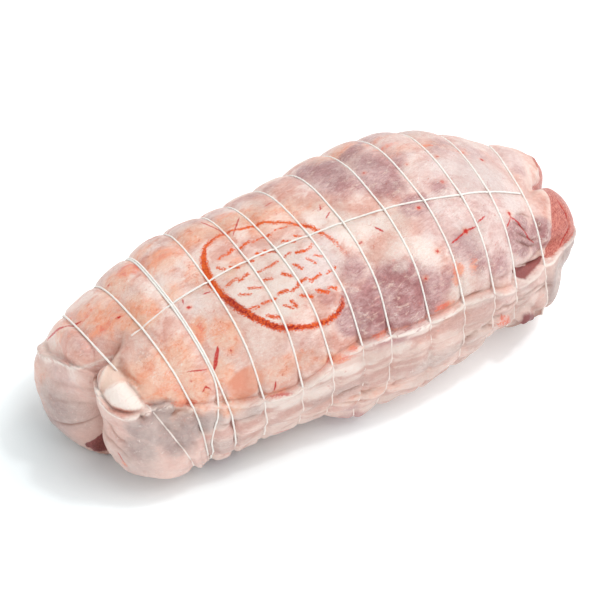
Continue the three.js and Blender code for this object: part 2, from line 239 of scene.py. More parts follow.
# height over the plain body of everything that is large enough for the solid too
def mainRelief(ringX, cap, turn, place):
    a = np.mod(turn, 360)
    x, y, z = place[..., 0], place[..., 1], place[..., 2]
    inTube = cap == 0
    around = follow(roll["halfWidth"], ringX) * degree
    away = (a - follow(longStringLine, ringX)) * around
    lengthwise = relief["lengthGroove"] * bell(away / relief["lengthGrooveWidth"])
    intoEnd = np.abs(cap) * relief["endRadius"] * degree
    endGroove = (relief["grooveTop"] + relief["endGroove"]) * bell(intoEnd / relief["endGrooveWidth"])
    rise = np.where(inTube, tieRelief(ringX, a) - lengthwise, -endGroove)
    below, reach = flapDepth(ringX, cap, turn, place)
    rise += (relief["flapRise"] * ease(-0.8, 0.8, below) - 0.5 * bell((below + 1.6) / 2)) * reach
    wave = np.cos(below / relief["foldSpacing"] + ringX * 0.03)
    folds = relief["foldHeight"] * wave * ease(3, 8, below) * reach
    rise += np.where(inTube & (below > 0), folds, 0)
    off = y - follow(leftCreaseLine, z)
    deep = ease(-99, -122, x) * ease(4, 24, z) * (1 - 0.5 * ease(76, 92, z))
    across = np.power(np.abs(off) / relief["leftCreaseWidth"], 1.3)
    paintedCreaseShade = relief["leftCreaseDepth"] * deep * np.exp(-across)
    rise -= np.where(ringX < -90, paintedCreaseShade, 0)
    off = y + 11.5 - (x - 125.5) * 0.65
    notch = relief["rightCreaseDepth"] * ease(116, 128, x) * ease(38, 56, z)
    notch = notch * bell(off / relief["rightCreaseWidth"])
    rise -= np.where(ringX > 110, notch, 0)
    along = ease(86, 94, x) * (1 - ease(122, 140, x))
    pocket = along * bell((below + relief["pocketBelow"]) / relief["pocketWidth"])
    rise -= np.where(ringX > 80, relief["pocketDepth"] * pocket, 0)
    for sx, sTurn, height, halfLength, wide in roll["swellings"]:
        rise += height * np.exp(-np.square((ringX - sx) / halfLength) - np.square((a - sTurn) / wide))
    return rise


def rayExit(origin, direction, lobe):
    centre, size = np.array(lobe[0], float), np.array(lobe[1], float)
    o, d = (origin - centre) / size, direction / size
    aa, bb, cc = (d * d).sum(-1), (o * d).sum(-1), (o * o).sum(-1) - 1
    root = bb * bb - aa * cc
    return np.where(root > 0, np.maximum(0, (-bb + np.sqrt(np.maximum(root, 0))) / aa), 0)


# rays from the axis of the roll and how far the plain body reaches along each
def bodyRays(ringX, cap, turn):
    halfWidth, halfHeight = follow(roll["halfWidth"], ringX), follow(roll["halfHeight"], ringX)
    yaw = np.tan(np.interp(ringX, tieXs, [row[1] for row in tieTable]) * degree)
    lean = np.tan(np.interp(ringX, tieXs, [row[2] for row in tieTable]) * degree)
    c, s = np.cos(turn * degree), np.sin(turn * degree)
    ca, sa = np.cos(cap * degree), np.sin(cap * degree)
    poleTurn = np.where(sa < 0, roll["leftPoleTurn"] * sa, 0)
    origin = np.stack([ringX, 0 * ringX, halfHeight + 0.3], -1)
    direction = np.stack([ca * (yaw * c + lean * s) + sa, ca * c + poleTurn, ca * s], -1)
    heightHere = np.where(s < 0, halfHeight + roll["restSink"], halfHeight)
    n = roll["squareness"]
    around = np.power(np.power(np.abs(c) / halfWidth, n) + np.power(np.abs(s) / heightHere, n), -1 / n)
    capLength = np.where(sa < 0, roll["leftCap"], roll["rightCap"])
    r = np.power(np.power(ca / around, 2.2) + np.power(np.abs(sa) / capLength, 2.2), -1 / 2.2)
    for lobes in (roll["leftLobes"], roll["rightLobes"]):
        reach = rayExit(origin, direction, lobes[0])
        for lobe in lobes[1:]:
            reach = softMax(reach, rayExit(origin, direction, lobe), 1.5)
        r = softMax(r, reach, 4)
    return origin, direction, r


def meatPoints(ringX, cap, turn, detail):
    ringX, cap, turn = np.broadcast_arrays(*(np.asarray(v, float) for v in (ringX, cap, turn)))
    origin, direction, r = bodyRays(ringX, cap, turn)
    place = origin + r[..., None] * direction
    rise = mainRelief(ringX, cap, turn, place) + detail(ringX, cap, turn, place)
    length = np.linalg.norm(direction, axis=-1)
    p = origin + (r + rise / length)[..., None] * direction
    atTie = bell(nearestTie(ringX, turn) / relief["floorClearWidth"])
    clear = np.where(cap == 0, relief["floorClear"] * atTie, 0)
    p[..., 2] = softMax(p[..., 2], clear, 2.5)
    return p


fineGrid = {
    "capRings": 52,
    "ringStep": 1.0,
    "nearEdge": 6,
    # turn from, turn to, number of columns
    "columns": [("start", "edgeBefore", 116), ("edgeBefore", "edgeAfter", 24), ("edgeAfter", "under", 80),
                ("under", "end", 76)],
    "startTurn": 44,
    "underTurn": 264,
}


def columnTurns(ringX):
    edge = follow(flapEdgeLine, ringX)
    stops = {"start": fineGrid["startTurn"] + 0 * ringX, "edgeBefore": edge - fineGrid["nearEdge"],
             "edgeAfter": edge + fineGrid["nearEdge"], "under": fineGrid["underTurn"] + 0 * ringX,
             "end": fineGrid["startTurn"] + 360 + 0 * ringX}
    parts = []
    for low, high, count in fineGrid["columns"]:
        t = np.arange(count) / count
        parts.append(stops[low][:, None] + (stops[high] - stops[low])[:, None] * t)
    return np.concatenate(parts, axis=1)


def ringRows():
    into = 90 * (1 - np.linspace(0, 1, fineGrid["capRings"] + 1)[:-1]) - 0.8
    left = np.stack([np.full(len(into), float(tieXs[0])), -into], 1)
    count = int(round((tieXs[-1] - tieXs[0]) / fineGrid["ringStep"]))
    tube = np.stack([np.linspace(tieXs[0], tieXs[-1], count + 1), np.zeros(count + 1)], 1)
    right = np.stack([np.full(len(into), float(tieXs[-1])), into[::-1]], 1)
    return np.concatenate([left, tube, right])


# creases, ridges and edges: height over the meat (below it where negative), half width,
# and the points x, y, z in mm that each one follows
strokes = [
    # left end, small fold lines of the fat round both lobes
    (-0.7, 0.8, [(-127, -25, 63.6), (-127.5, -27.8, 63.8), (-125.4, -30.7, 63), (-119.9, -34.8, 62.6),
        (-114.5, -38, 62.8)]),
    (-0.9, 1.1, [(-126.2, -22.9, 51.7), (-125, -27.1, 45.2), (-122, -37.4, 43.1)]),
    (-0.9, 1.2, [(-125.5, -12, 36), (-125.8, -25.2, 37.6), (-124.2, -35.2, 37.4), (-121.2, -40, 34)]),
    (-1.5, 1.2, [(-139, 12, 22), (-136, 5, 25), (-132, -1, 28), (-126, -6, 30)]),
    (1.5, 1.3, [(-112.6, -11.6, 83), (-118.7, -12.3, 78), (-123.4, -16.9, 78), (-127.3, -20, 74),
        (-129, -20.3, 69), (-129, -23.4, 64), (-127, -29, 61)]),
    (-1.3, 1, [(-112.6, -13, 82.5), (-113.7, -16, 81.3), (-116.1, -18, 78.5), (-114.9, -24.2, 77.5),
        (-114.6, -28.5, 73.4), (-112.4, -33.3, 69.2), (-111.5, -37, 65)]),
    (-1, 1.5, [(-112.4, -12.3, 76.4), (-113.2, -20.9, 76.4), (-111.9, -27.2, 74.7), (-109.6, -32.7, 71)]),
    (-0.5, 1.4, [(-139.1, 13.7, 50.2), (-133.9, 1, 54.9), (-126, -11.4, 59.5)]),
    (-0.5, 1.6, [(-141.6, 11.7, 40.1), (-135.9, -1.4, 45.6), (-127.4, -8.8, 43.8)]),
    # torn membrane beside the white fat
    (-2.4, 1, [(-102, -42.1, 59.1), (-98.4, -46, 61.9), (-94.5, -47, 62.2), (-93, -47.8, 61.5)]),
    (0.8, 1, [(-107.5, -37.2, 65.7), (-102.7, -40.8, 65.6), (-98.6, -43.4, 62.7), (-92.9, -48.1, 61.6)]),
    # folds of the flap, from left to right
    (-1.3, 0.9, [(-79.8, -51.6, 48.4), (-72.4, -52.1, 46.8), (-68.3, -56.2, 49.4), (-59.5, -55.8, 47.6)]),
    (-0.9, 0.9, [(-33.9, -53.1, 33.5), (-29.6, -58.4, 39.2), (-24, -57.7, 38.2)]),
    (-1.3, 0.9, [(-18.6, -56.5, 36.8), (-13.8, -60.3, 41.7), (-8.1, -60.9, 43.2), (0.1, -62.1, 42.1)]),
    (-1.4, 0.9, [(-11.8, -60.5, 37.2), (-1.7, -58.7, 33.5), (6.1, -62, 37)]),
    (-1.3, 0.9, [(-21.6, -56.6, 31.8), (-12.7, -58.2, 31), (-3.8, -57.1, 27), (2.8, -58.9, 29.1)]),
    (-1.2, 0.9, [(13, -60.2, 33.1), (16.2, -63.1, 37.7), (20.2, -64.3, 40)]),
    (0.8, 1.1, [(-16.1, -59.7, 54.4), (-6.3, -61.2, 58.5), (2.1, -62.2, 59.5), (12.9, -61.9, 60.8),
        (19.9, -62.5, 63)]),
    (-0.8, 1, [(31.7, -62.1, 67.3), (38.7, -62, 68.4), (46.6, -63, 68.8)]),
    (-1.6, 0.9, [(51.4, -62, 45.3), (57.2, -63.3, 48.7), (62.8, -63.5, 49.5)]),
    (-1.8, 0.9, [(64.5, -63.3, 49), (70.1, -61.5, 47.5), (74.8, -58.3, 43.6)]),
    (-1.4, 1, [(72.8, -58.9, 53.4), (78.9, -60, 55.6), (86.9, -56, 50.9), (100, -53.9, 46.6)]),
    (-1.4, 1, [(104.2, -52.4, 44.6), (112.7, -48.3, 41.8), (120, -46.5, 39.8)]),
    (-1.1, 0.7, [(56.5, -57, 72.2), (60.3, -58.3, 72.9), (66.8, -58, 71.6)]),
    (-1, 1, [(75.8, -54.6, 72.6), (81.7, -55.3, 71.3), (88.8, -52.2, 69.5)]),
    # puckered skin and layered muscle of the right end
    (-1.5, 0.8, [(98.9, -34.4, 84.9), (103.3, -35.5, 80.6), (107.6, -36.9, 74.7)]),
    (-1.6, 0.8, [(97.6, -39, 81.7), (102.9, -39.3, 76.8), (109.2, -39.1, 70.1), (115.1, -35.9, 66.5)]),
    (-1.6, 0.8, [(94.6, -42.3, 80), (100, -42.3, 75.8), (105.3, -42.1, 70.1), (114.9, -37.4, 63.9)]),
    (-0.9, 0.7, [(115.1, -27.6, 75.3), (118.8, -29.3, 71.4), (118.3, -33.1, 68), (114, -36.7, 67.2)]),
    (-1.3, 0.8, [(103.8, -30.1, 83.8), (109.5, -28.4, 80.1), (114.1, -28.8, 75.5)]),
    (-2.4, 0.8, [(93.3, -48, 67.4), (98.8, -46, 63.8), (105.5, -42.6, 57.9), (112, -40.4, 55.3),
        (117.5, -37.5, 53.5)]),
    (1.3, 0.9, [(92, -49, 60), (96.8, -49.6, 57.3), (100.1, -50.5, 56.2), (105.5, -50, 54.9),
        (111.1, -47.3, 53.6)]),
    (-1, 0.7, [(138.2, -19, 67.5), (140.5, -25, 62.5), (139.5, -30, 56.5), (132, -34.5, 52.5)]),
    (-1.1, 0.9, [(89.4, -56, 52.5), (97.4, -53.4, 49.5), (106.3, -51.4, 47.8), (118, -48, 42)]),
    (-1, 0.8, [(63.7, -62.4, 49.4), (72, -60.1, 48.7), (80.7, -59.7, 49.6)]),
    # skin edge round the two cut muscles of the right end
    (1, 1.3, [(131.4, -9.1, 70.4), (133.1, -14.9, 71.6), (129.5, -23.7, 70.9), (123.9, -32.3, 66.9),
        (119.6, -36.7, 61.5)]),
    (1.2, 1.3, [(145.2, 18.7, 66.5), (144.9, 12.3, 67.4), (142.7, 6.4, 67.2), (136.7, 0.2, 67.4)]),
]
# patches with an edge of their own: tint, height over the meat, softness of the edge, and the points
# x, y, z in mm round each one
patches = [
    ("whiteFat", 0.7, 1.5, [(-127, -22, 66.7), (-124.6, -23.1, 71.1), (-121, -23.7, 73.3),
        (-118.7, -24.5, 74), (-115.5, -24.9, 72.7), (-112.1, -29.1, 71.3), (-111.7, -33.7, 65.6),
        (-110.2, -36.5, 62.5), (-114.1, -35.2, 62.9), (-120.4, -33.1, 63.9), (-124.5, -28, 64)]),
    ("thinSkin", -0.1, 1.2, [(-112.6, -12.1, 82), (-118.7, -13.3, 77.3), (-123.6, -16.8, 75.2),
        (-127.5, -20, 71.5), (-127, -22, 66.7), (-124.6, -23.1, 71.1), (-121, -23.7, 73.3),
        (-118.7, -24.5, 74), (-115.5, -24.9, 72.7), (-114.5, -20, 75.5), (-113.3, -14.4, 74.7)]),
    ("maroon", -1.6, 0.7, [(-131, 0, 9.5), (-126, -7, 11.5), (-121, -10, 12.5), (-118, -12, 8),
        (-121, -10, 2), (-127, -3, 1.5), (-132, 1, 4)]),
    ("openFlesh", -1, 0.5, [(92.4, -47.8, 67.1), (98, -45, 62), (102.9, -42.1, 58.3),
        (107.5, -40.6, 56.8), (113.2, -38.5, 54.8), (118.3, -38.8, 53.8), (113.5, -42.8, 53.4),
        (108.7, -45.6, 54.2), (104, -48.3, 55), (99.6, -47.7, 56.2), (97, -47.6, 57.2),
        (94.6, -47.2, 58.6), (92.8, -47.5, 62)]),
    ("lump", 2.8, 1.3, [(93.5, -55, 33), (95.7, -54.8, 37.5), (99.2, -54.6, 37.1), (103.6, -55.1, 31.4),
        (106, -54.5, 26.5), (101, -55, 24.5), (95, -55.5, 27.5)]),
    ("scrap", 1, 0.8, [(75.6, -59.4, 46.8), (79, -60, 49), (85.1, -57.7, 43.1), (87.8, -56, 37),
        (83, -58.1, 38.6), (76.5, -59.9, 43)]),
    ("redFace", 0, 0.6, [(136.3, -6.9, 69.3), (133.6, -14, 72.2), (133.1, -19.3, 71.6),
        (130.5, -24.1, 70.7), (127.5, -29.9, 67.1), (124.5, -34.6, 62.9), (121.7, -35.2, 56.9),
        (117.8, -38.8, 53.5), (129, -37.1, 50.8), (139.3, -31.5, 49.4), (144, -24, 46), (148, -12, 46),
        (148, 0, 50), (144.3, 2.8, 57.1)]),
    ("redFace", 0, 0.6, [(144.8, 15, 68.5), (142.4, 6.6, 69.6), (143.2, 4.6, 66), (143.6, 4, 61),
        (140, 1.2, 62), (135, -1.6, 66.8), (133.5, -4.5, 68), (137.5, -5.5, 66), (146, 3, 54),
        (149, 8, 52), (149, 16, 52), (148, 24, 58)]),
]
# small pits and bumps: x, y, z, height, reach
dimples = [(-115.1, -39.5, 62, -4.2, 1.6), (-112.6, -42, 62, 2.2, 1.9), (-120.5, -29.5, 67.5, 0.8, 3.5),
    (-138, 28, 48, 1.6, 8), (103.5, -55, 21, -4.5, 8), (108, -47, 13, -3, 12)]


# distance of each place from a stroke as seen along its own ray, which side of it, and how far along
def strokeDistance(place, ray, points):
    points = np.array(points, float)
    best = np.full(place.shape[:-1], 1e3)
    side = np.ones(place.shape[:-1])
    along = np.zeros(place.shape[:-1])
    lengths = np.linalg.norm(np.diff(points, axis=0), axis=1)
    done = 0.0
    for start, end, length in zip(points[:-1], points[1:], lengths):
        a, b = acrossRay(start - place, ray), acrossRay(end - place, ray)
        ab = b - a
        t = np.clip(-(a * ab).sum(-1) / np.maximum((ab * ab).sum(-1), 1e-9), 0, 1)
        d = np.linalg.norm(a + t[..., None] * ab, axis=-1)
        closer = d < best
        best = np.where(closer, d, best)
        side = np.where(closer, np.sign((np.cross(a, b) * ray).sum(-1)), side)
        along = np.where(closer, (done + t * length) / lengths.sum(), along)
        done += length
    return best, side, along


# signed distance inside a patch, positive within it
def patchDepth(place, ray, points):
    points = np.array(points, float)
    closed = np.concatenate([points, points[:1]])
    distance, _, _ = strokeDistance(place, ray, closed)
    winding = np.zeros(place.shape[:-1])
    for start, end in zip(closed[:-1], closed[1:]):
        a, b = acrossRay(start - place, ray), acrossRay(end - place, ray)
        winding += np.arctan2((np.cross(a, b) * ray).sum(-1), (a * b).sum(-1))
    return np.where(np.abs(winding) > math.pi, distance, -distance)


# which places lie in the box round some points, grown by a margin
def nearBox(place, points, margin):
    points = np.array(points, float)
    low, high = points.min(0) - margin, points.max(0) + margin
    return np.all((place > low) & (place < high), axis=-1)


# 1 along the middle of a stroke, running out to 0 at both ends
def endTaper(along):
    return np.power(np.clip(4.5 * along * (1 - along), 0, 1), 0.6)


def handShaping(place, ray):
    rise = np.zeros(place.shape[:-1])
    for height, width, points in strokes:
        near = nearBox(place, points, 9)
        if near.any():
            distance, _, along = strokeDistance(place[near], ray[near], points)
            rise[near] += height * bell(distance / width) * endTaper(along)
    for _, height, edge, points in patches:
        near = nearBox(place, points, 12)
        if near.any():
            depth = patchDepth(place[near], ray[near], points)
            lift = height * (ease(-edge, edge, depth) + 0.25 * bell((depth - 2 * edge) / (1.3 * edge)))
            rise[near] += lift - 0.35 * abs(height) * bell((depth + 1.4 * edge) / edge)
    for x, y, z, height, reach in dimples:
        near = nearBox(place, [(x, y, z)], 3 * reach + 6)
        if near.any():
            off = acrossRay(np.array((x, y, z)) - place[near], ray[near])
            rise[near] += height * bell(np.linalg.norm(off, axis=-1) / reach)
    return rise


# long soft wrinkles of the wrapped fat
def wrinklesAt(place):
    slanted = place * np.array([0.1, 1.0, 1.0])
    slanted[..., 2] -= (0.16 + 0.1 * np.sin(place[..., 0] / 17)) * place[..., 0]
    return noiseAt(slanted, 5.2, 11) + 0.35 * noiseAt(slanted, 2.6, 13)


# soft unevenness that the strings follow too
def softDetail(ringX, cap, turn, place):
    rise = 0.3 * noiseAt(place, 13.0, 3) + 0.16 * noiseAt(place, 6.0, 5)
    below, reach = flapDepth(ringX, cap, turn, place)
    onFlap = ease(-0.5, 1.5, below) * reach
    return rise + onFlap * ease(2, 7, below) * wrinklesAt(place)


# the full surface: soft detail, the lip of the flap and the listed shaping, less under the strings
def surfaceDetail(ringX, cap, turn, place):
    rise = softDetail(ringX, cap, turn, place)
    rise += 0.1 * noiseAt(place * np.array([0.35, 1.0, 1.0]), 2.2, 7)
    below, reach = flapDepth(ringX, cap, turn, place)
    lip = np.where(ringX < -98, 1.5, 0.9)
    rise += lip * bell((below - 1.2) / 1.1) * reach
    rise -= 0.6 * lip * bell((below + 1.0) / 0.9) * reach
    _, direction, _ = bodyRays(ringX, cap, turn)
    ray = direction / np.linalg.norm(direction, axis=-1)[..., None]
    pressed = np.where(cap == 0, 1 - 0.75 * bell(nearestTie(ringX, turn) / 1.4), 1)
    pressed = np.where((ringX < -95) & (cap == 0), 1, pressed)
    return rise + handShaping(place, ray) * pressed


def addObject(name, data):
    made = bpy.data.objects.new(name, data)
    bpy.context.scene.collection.objects.link(made)
    return made


def buildMesh(name, points, faces):
    mesh = bpy.data.meshes.new(name)
    shift = np.array([roll["toMiddle"][0], roll["toMiddle"][1], 0.0])
    mesh.from_pydata((points + shift) * millimetre, [], faces)
    mesh.polygons.foreach_set("use_smooth", np.ones(len(mesh.polygons), bool))
    mesh.update()
    return addObject(name, mesh)


# one number for each corner of a piece's mesh, for its material to read
def addMask(piece, name, values):
    numbers = piece.data.attributes.new(name, "FLOAT", "POINT")
    numbers.data.foreach_set("value", np.asarray(values, np.float32).ravel())


def gridFaces(rows, columns, closedRows=False):
    i, j = np.meshgrid(np.arange(rows if closedRows else rows - 1), np.arange(columns), indexing="ij")
    k = (j + 1) % columns
    nextRow = (i + 1) % rows
    quads = np.stack([i * columns + j, i * columns + k, nextRow * columns + k, nextRow * columns + j], -1)
    return quads.reshape(-1, 4).tolist()


def buildMeat():
    rows = ringRows()
    turns = columnTurns(rows[:, 0])
    ringX = np.repeat(rows[:, :1], turns.shape[1], 1)
    cap = np.repeat(rows[:, 1:], turns.shape[1], 1)
    points = meatPoints(ringX, cap, turns, surfaceDetail)
    ends = meatPoints([tieXs[0], tieXs[-1]], [-90.0, 90.0], [0.0, 0.0], surfaceDetail)
    m, n = turns.shape
    flat = np.concatenate([points.reshape(-1, 3), ends])
    faces = gridFaces(m, n)
    start, end = len(flat) - 2, len(flat) - 1
    for j in range(n):
        k = (j + 1) % n
        faces.append([start, k, j])
        faces.append([end, (m - 1) * n + j, (m - 1) * n + k])
    return buildMesh("lamb_roll", flat, faces), ringX, cap, turns


meat, meatX, meatCap, meatTurn = buildMeat()
print("meat made:", len(meat.data.polygons), "faces")

# where lean meat, fat and skin lie on the roll: x, turn, half length, half width round the roll, strength
# and, where it isn't 0, the slant in degrees
tissue = {
    "muscle": [
        (20, 150, 28, 21, 1.3), (-3, 143, 8, 12, 0.8), (10, 154, 13, 10, 1.2), (4, 128, 10, 12, 0.7),
        (47, 150, 13, 10, 0.7), (44, 84, 13, 25, 0.9), (23.5, 66, 12.5, 27, 0.9), (20, 54, 10, 9, 1.2),
        (50, 110, 11, 9, 0.9), (41, 55, 14, 11, 1.2), (-13, 134, 7, 8, 0.5), (34, 82, 12, 14, 0.7),
        (54, 78, 11, 18, 0.7), (-66, 50, 9, 8, 0.5), (20, 85, 13, 7, 0.5), (40, 98, 11, 10, 0.45),
        (52, 117, 8, 7, 0.5), (56, 111, 10, 6, 0.5), (67, 107, 7, 8, 0.8), (70, 147, 10, 9, 0.8),
        (64, 138, 12, 12, 0.75), (-1, 149, 13, 10, 1.5), (-64, 98, 7, 10, 0.35), (60, 74, 14, 9, 0.6),
        (88, 74, 18, 10, 0.7), (84, 153, 12, 10, 0.75), (104, 142, 9, 9, 1.9), (110, 134, 6, 6, 1.3),
        (-34, 153, 22, 12, 0.45), (84, 122, 10, 14, 0.5), (104, 76, 10, 12, 0.6), (-62, 60, 22, 10, 0.45),
        (-20, 50, 50, 8, 0.5), (50, 52, 40, 12, 0.6), (20, 190, 22, 9, 0.35), (-79, 228, 12, 10, 1.1),
        # the patch at x -9, turn 211 darkens the underside of the bulge below the flap
        (-3, 226, 14, 12, 1.1), (-9, 211, 10, 5, 0.55), (0, 300, 60, 30, 0.8, 10),
        (-60, 320, 40, 20, 0.7), (70, 330, 30, 26, 0.8), (-30, 10, 45, 16, 0.6), (70, 16, 26, 18, 0.7),
    ],
    "cream": [
        (10, 104, 12, 11, 0.9), (22, 110, 18, 8, 0.8, 12), (42, 134, 9, 12, 0.75, 10),
        (60, 88, 9, 9, 0.6), (28, 127, 14, 8, 0.55, -20), (27, 135, 8, 5, 0.5), (4, 92, 9, 9, 0.8),
        (-13, 116, 15, 14, 1.2), (55, 156, 9, 8, 0.75), (100, 100, 16, 16, 0.75), (-20, 103, 12, 9, 0.75),
        (-12, 82, 12, 10, 0.55), (-36, 104, 12, 9, 0.75), (-29, 121, 12, 8, 0.9), (-44, 115, 9, 10, 0.9),
        (-37, 131, 10, 6, 0.9), (66, 128, 8, 6, 0.6), (108, 120, 8, 8, 0.7), (16, 172, 9, 4, 0.8),
        (-48, 94, 9, 8, 0.6), (-48, 128, 6, 4, 0.6), (-66, 108, 8, 8, 0.75), (-76, 84, 8, 10, 0.7),
        (-50, 140, 12, 10, 0.45), (78, 92, 16, 8, 0.8), (-22, 112, 13, 12, 0.7), (84, 112, 12, 9, 0.6),
        (-8, 118, 9, 7, 0.6), (-36, 181, 16, 5, 1), (-50, 176, 10, 4, 0.9), (-16, 173, 14, 3, 0.9),
        (30, 167, 12, 2.5, 0.9), (70, 110, 10, 6, 0.5), (40, 250, 30, 16, 0.7), (-50, 270, 24, 20, 0.8),
        (30, 20, 24, 18, 0.6), (-80, 20, 16, 20, 0.6),
    ],
    "peach": [
        (36, 50, 16, 8, 0.9), (76, 60, 12, 8, 0.9), (-91, 150, 11, 14, 1.3, 25), (-98, 132, 9, 13, 1.2),
        (-85.7, 131, 8, 13, 0.95, 20), (6, 84, 12, 8, 0.5), (-12, 78, 17, 13, 0.8), (-70, 52, 10, 7, 0.7),
        (-26, 66, 14, 9, 0.9), (-98, 76, 8, 16, 0.7), (-88, 92, 9, 12, 1.3), (-72, 92, 6, 8, 0.8),
        (70, 70, 18, 8, 0.75), (92, 75, 12, 6, 0.5), (-62, 130, 8, 10, 0.95), (-71, 122, 4, 8, 1.3, 25),
        (-71, 147, 7, 9, 0.95), (-48, 64, 14, 10, 0.8), (-34, 66, 16, 12, 0.8), (-42, 158, 20, 9, 0.6),
        (86, 166, 8, 4, 0.8), (104, 90, 10, 4, 0.5), (-58, 90, 8, 12, 0.5), (-42, 98, 8, 10, 0.9),
        (-88, 62, 8, 12, 0.8), (60, 60, 20, 8, 0.6), (-74, 167, 10, 5, 1), (-66, 70, 10, 10, 0.8),
        (10, 10, 30, 14, 0.5), (0, 198, 50, 8, 0.35), (60, 270, 26, 14, 0.5), (-21, 164, 7, 3, 0.9),
    ],
    "blush": [
        (-17, 165.5, 7, 2.2, 0.9), (-9, 162, 4, 1.6, 0.7), (-79, 60, 6, 5, 1.4, 30),
        (-100, 84, 5, 3, 0.8, 20), (-48, 171, 8, 2.2, 0.7), (7, 161.5, 6, 2, 0.7), (44, 161, 7, 2, 0.9),
        (-71, 123, 2.6, 7, 0.8, 25), (55.7, 147.6, 3.6, 3.4, 1.2), (53, 152, 2.4, 3.4, 0.9),
        (-64, 68, 8, 4, 0.6), (96, 77, 3, 1.6, 0.9), (78, 72, 4, 1.6, 0.8, 20), (58, 66, 8, 2, 0.6),
        (-93, 155, 6, 2, 0.95, 30), (-93, 146, 3, 6, 0.5), (65, 148, 3, 5, 0.6, 20),
        (-102, 66, 6, 3, 0.6), (-40, 96, 4, 5, 0.5), (-30, 58, 7, 4, 0.5),
    ],
    "veil": [
        (88, 118, 40, 60, 1), (58, 122, 16, 18, 1), (60, 60, 40, 30, 0.8), (22, 64, 20, 24, 0.7),
        (-9, 118, 12, 13, 1.1), (-2, 106, 12, 8, 0.6), (-34, 92, 14, 7, 0.4), (-70, 106, 10, 8, 0.5),
    ],
    # silverskin, and painted shade: the patches low on the flap, at turn 187 to 198, and the one at x -102,
    # turn 152, partly a string's shadow, are painted shade
    "silverSkinAndShade": [
        (-102, 152, 5, 5, 1.3), (-90, 172, 11, 7, 1.1), (-97, 166, 7, 8, 1.2), (-72, 178, 14, 4, 0.5),
        (-4, 116, 8, 9, 0.4), (40, 190, 26, 7, 0.6), (-22, 187, 24, 6, 0.5), (-84, 198, 16, 9, 0.6),
        (-62, 176, 9, 6, 0.6), (-14, 126, 10, 8, 0.5),
    ],
}
# the same on the ends: x, y, z, reach, strength
endTissue = {
    "muscle": [(-120, 5, 78, 13, 0.55), (107, -41, 76, 8, 0.9), (112, -36, 67, 8, 1.6),
        (118, -34, 66, 8, 2), (-104, -25, 80, 7, 0.9), (128, -22, 76, 7, 0.5), (128, 14, 84, 12, 0.4),
        (128, 2, 78, 8, 0.6), (-108, 45, 40, 16, 0.8), (110, 45, 60, 18, 0.8), (-138, 8, 22, 12, 0.5)],
    "cream": [(-134, 20, 56, 7, 0.5), (-130, 0, 62, 7, 0.6), (118, -14, 88, 8, 0.9),
        (120, -36, 40, 14, 0.4), (-131, 14, 64, 6, 0.5)],
    "peach": [(-127, 24, 70, 8, 0.6), (-101, -46, 56, 6, 0.7), (-98, -30, 78, 12, 0.9),
        (-138, 20, 44, 14, 0.4), (128, 10, 88, 5, 0.3), (122, -40, 48, 10, 0.4), (-112, 20, 80, 9, 0.6)],
    "blush": [(-126, 34, 66, 6, 0.6), (-121, 26, 72, 5, 0.5), (-104, 4, 88, 8, 0.45),
        (-124, -36, 28, 2, 0.9)],
    # silverskin, and painted shade low on the far lobe of the left end, low on the right end and beside the
    # first string
    "silverSkinAndShade": [(-109, -46, 54, 10, 1.3), (-101, -50, 46, 10, 1.2), (-118, -43, 55, 9, 1.1),
        (-118, -42, 42, 11, 0.9), (-139, 8, 36, 17, 0.9), (-132, 20, 20, 15, 1.2),
        (-118, -38, 30, 14, 0.6), (129, -41, 42, 10, 1), (139, -32, 42, 12, 1.8), (126, -42, 36, 15, 1.3),
        (120, -31, 69, 6, 0.35), (-107, -42, 60, 6, 1.2)],
    "veil": [(128, 12, 84, 14, 1.2), (126, -8, 84, 9, 0.8), (-131, 8, 55, 12, 0.6)],
}

# thin blood vessels: half width in mm, then x, turn pairs on the roll or x, y, z in mm on an end
veins = [
    (0.8, [(57.4, 134.8), (62.4, 133.6), (67.5, 132), (75, 131.6)]),
    (0.7, [(77.9, 129.6), (83.4, 127.6)]),
    (0.7, [(103.1, 126.8), (103.1, 129.2), (107.7, 132.8), (110.3, 138), (112.3, 142.8), (116, 146)]),
    (0.5, [(103.1, 129.2), (101.9, 130.8), (97.7, 134.8)]),
    (0.7, [(-40.8, 55.6), (-38.7, 62.4), (-37, 67.2), (-36.2, 73.2)]),
    (0.6, [(-24.4, 65.6), (-30.3, 72.4), (-33.7, 76)]),
    (0.5, [(10.4, 90.8), (6.6, 94)]),
    (0.4, [(8.7, 83.2), (7, 87.2)]),
    (0.4, [(-11.4, 66.4), (-6.4, 65.2)]),
    (0.5, [(-60.9, 104), (-57.2, 104.8)]),
    (0.5, [(-69.3, 100.4), (-70.2, 103.6)]),
    (0.6, [(-48.4, 163.6), (-50, 169.2)]),
    (0.3, [(-53, 171.6), (-46.3, 173.2), (-41, 174)]),
    (0.45, [(-86.5, 138.8), (-81.9, 140.8), (-76.5, 142.8)]),
    (0.45, [(-84.4, 152.8), (-81.5, 150.4), (-79.4, 153.6)]),
    (1.7, [(-67.7, 135), (-70.6, 139.6), (-73.1, 144.2)]),
    (1, [(24.5, 112.4), (27, 116)]),
    (0.5, [(-50, 205), (-36, 208), (-24, 204)]),
    (0.7, [(-70, 40), (-60, 46), (-44, 44)]),
    (0.8, [(40, 330), (55, 322), (74, 326)]),
    (0.7, [(-20, 340), (0, 332), (16, 336)]),
    (0.7, [(-30, 280), (-10, 286), (6, 280)]),
    (1.4, [(-130.6, 33.4, 55.6), (-129, 30.7, 61.2), (-127.6, 27.7, 66.3), (-125.3, 22.7, 72.5)]),
    (0.8, [(-125.3, 22.7, 72.5), (-121.6, 19, 74.6), (-118.4, 16.5, 78.6)]),
    (0.8, [(-125.8, -32.6, 33), (-125, -34.6, 30.6), (-124.2, -35.8, 29.1)]),
    (0.7, [(138.2, -19, 67.5), (140.5, -25, 62.5), (139.5, -30, 56.5), (132, -34.5, 52.5)]),
]
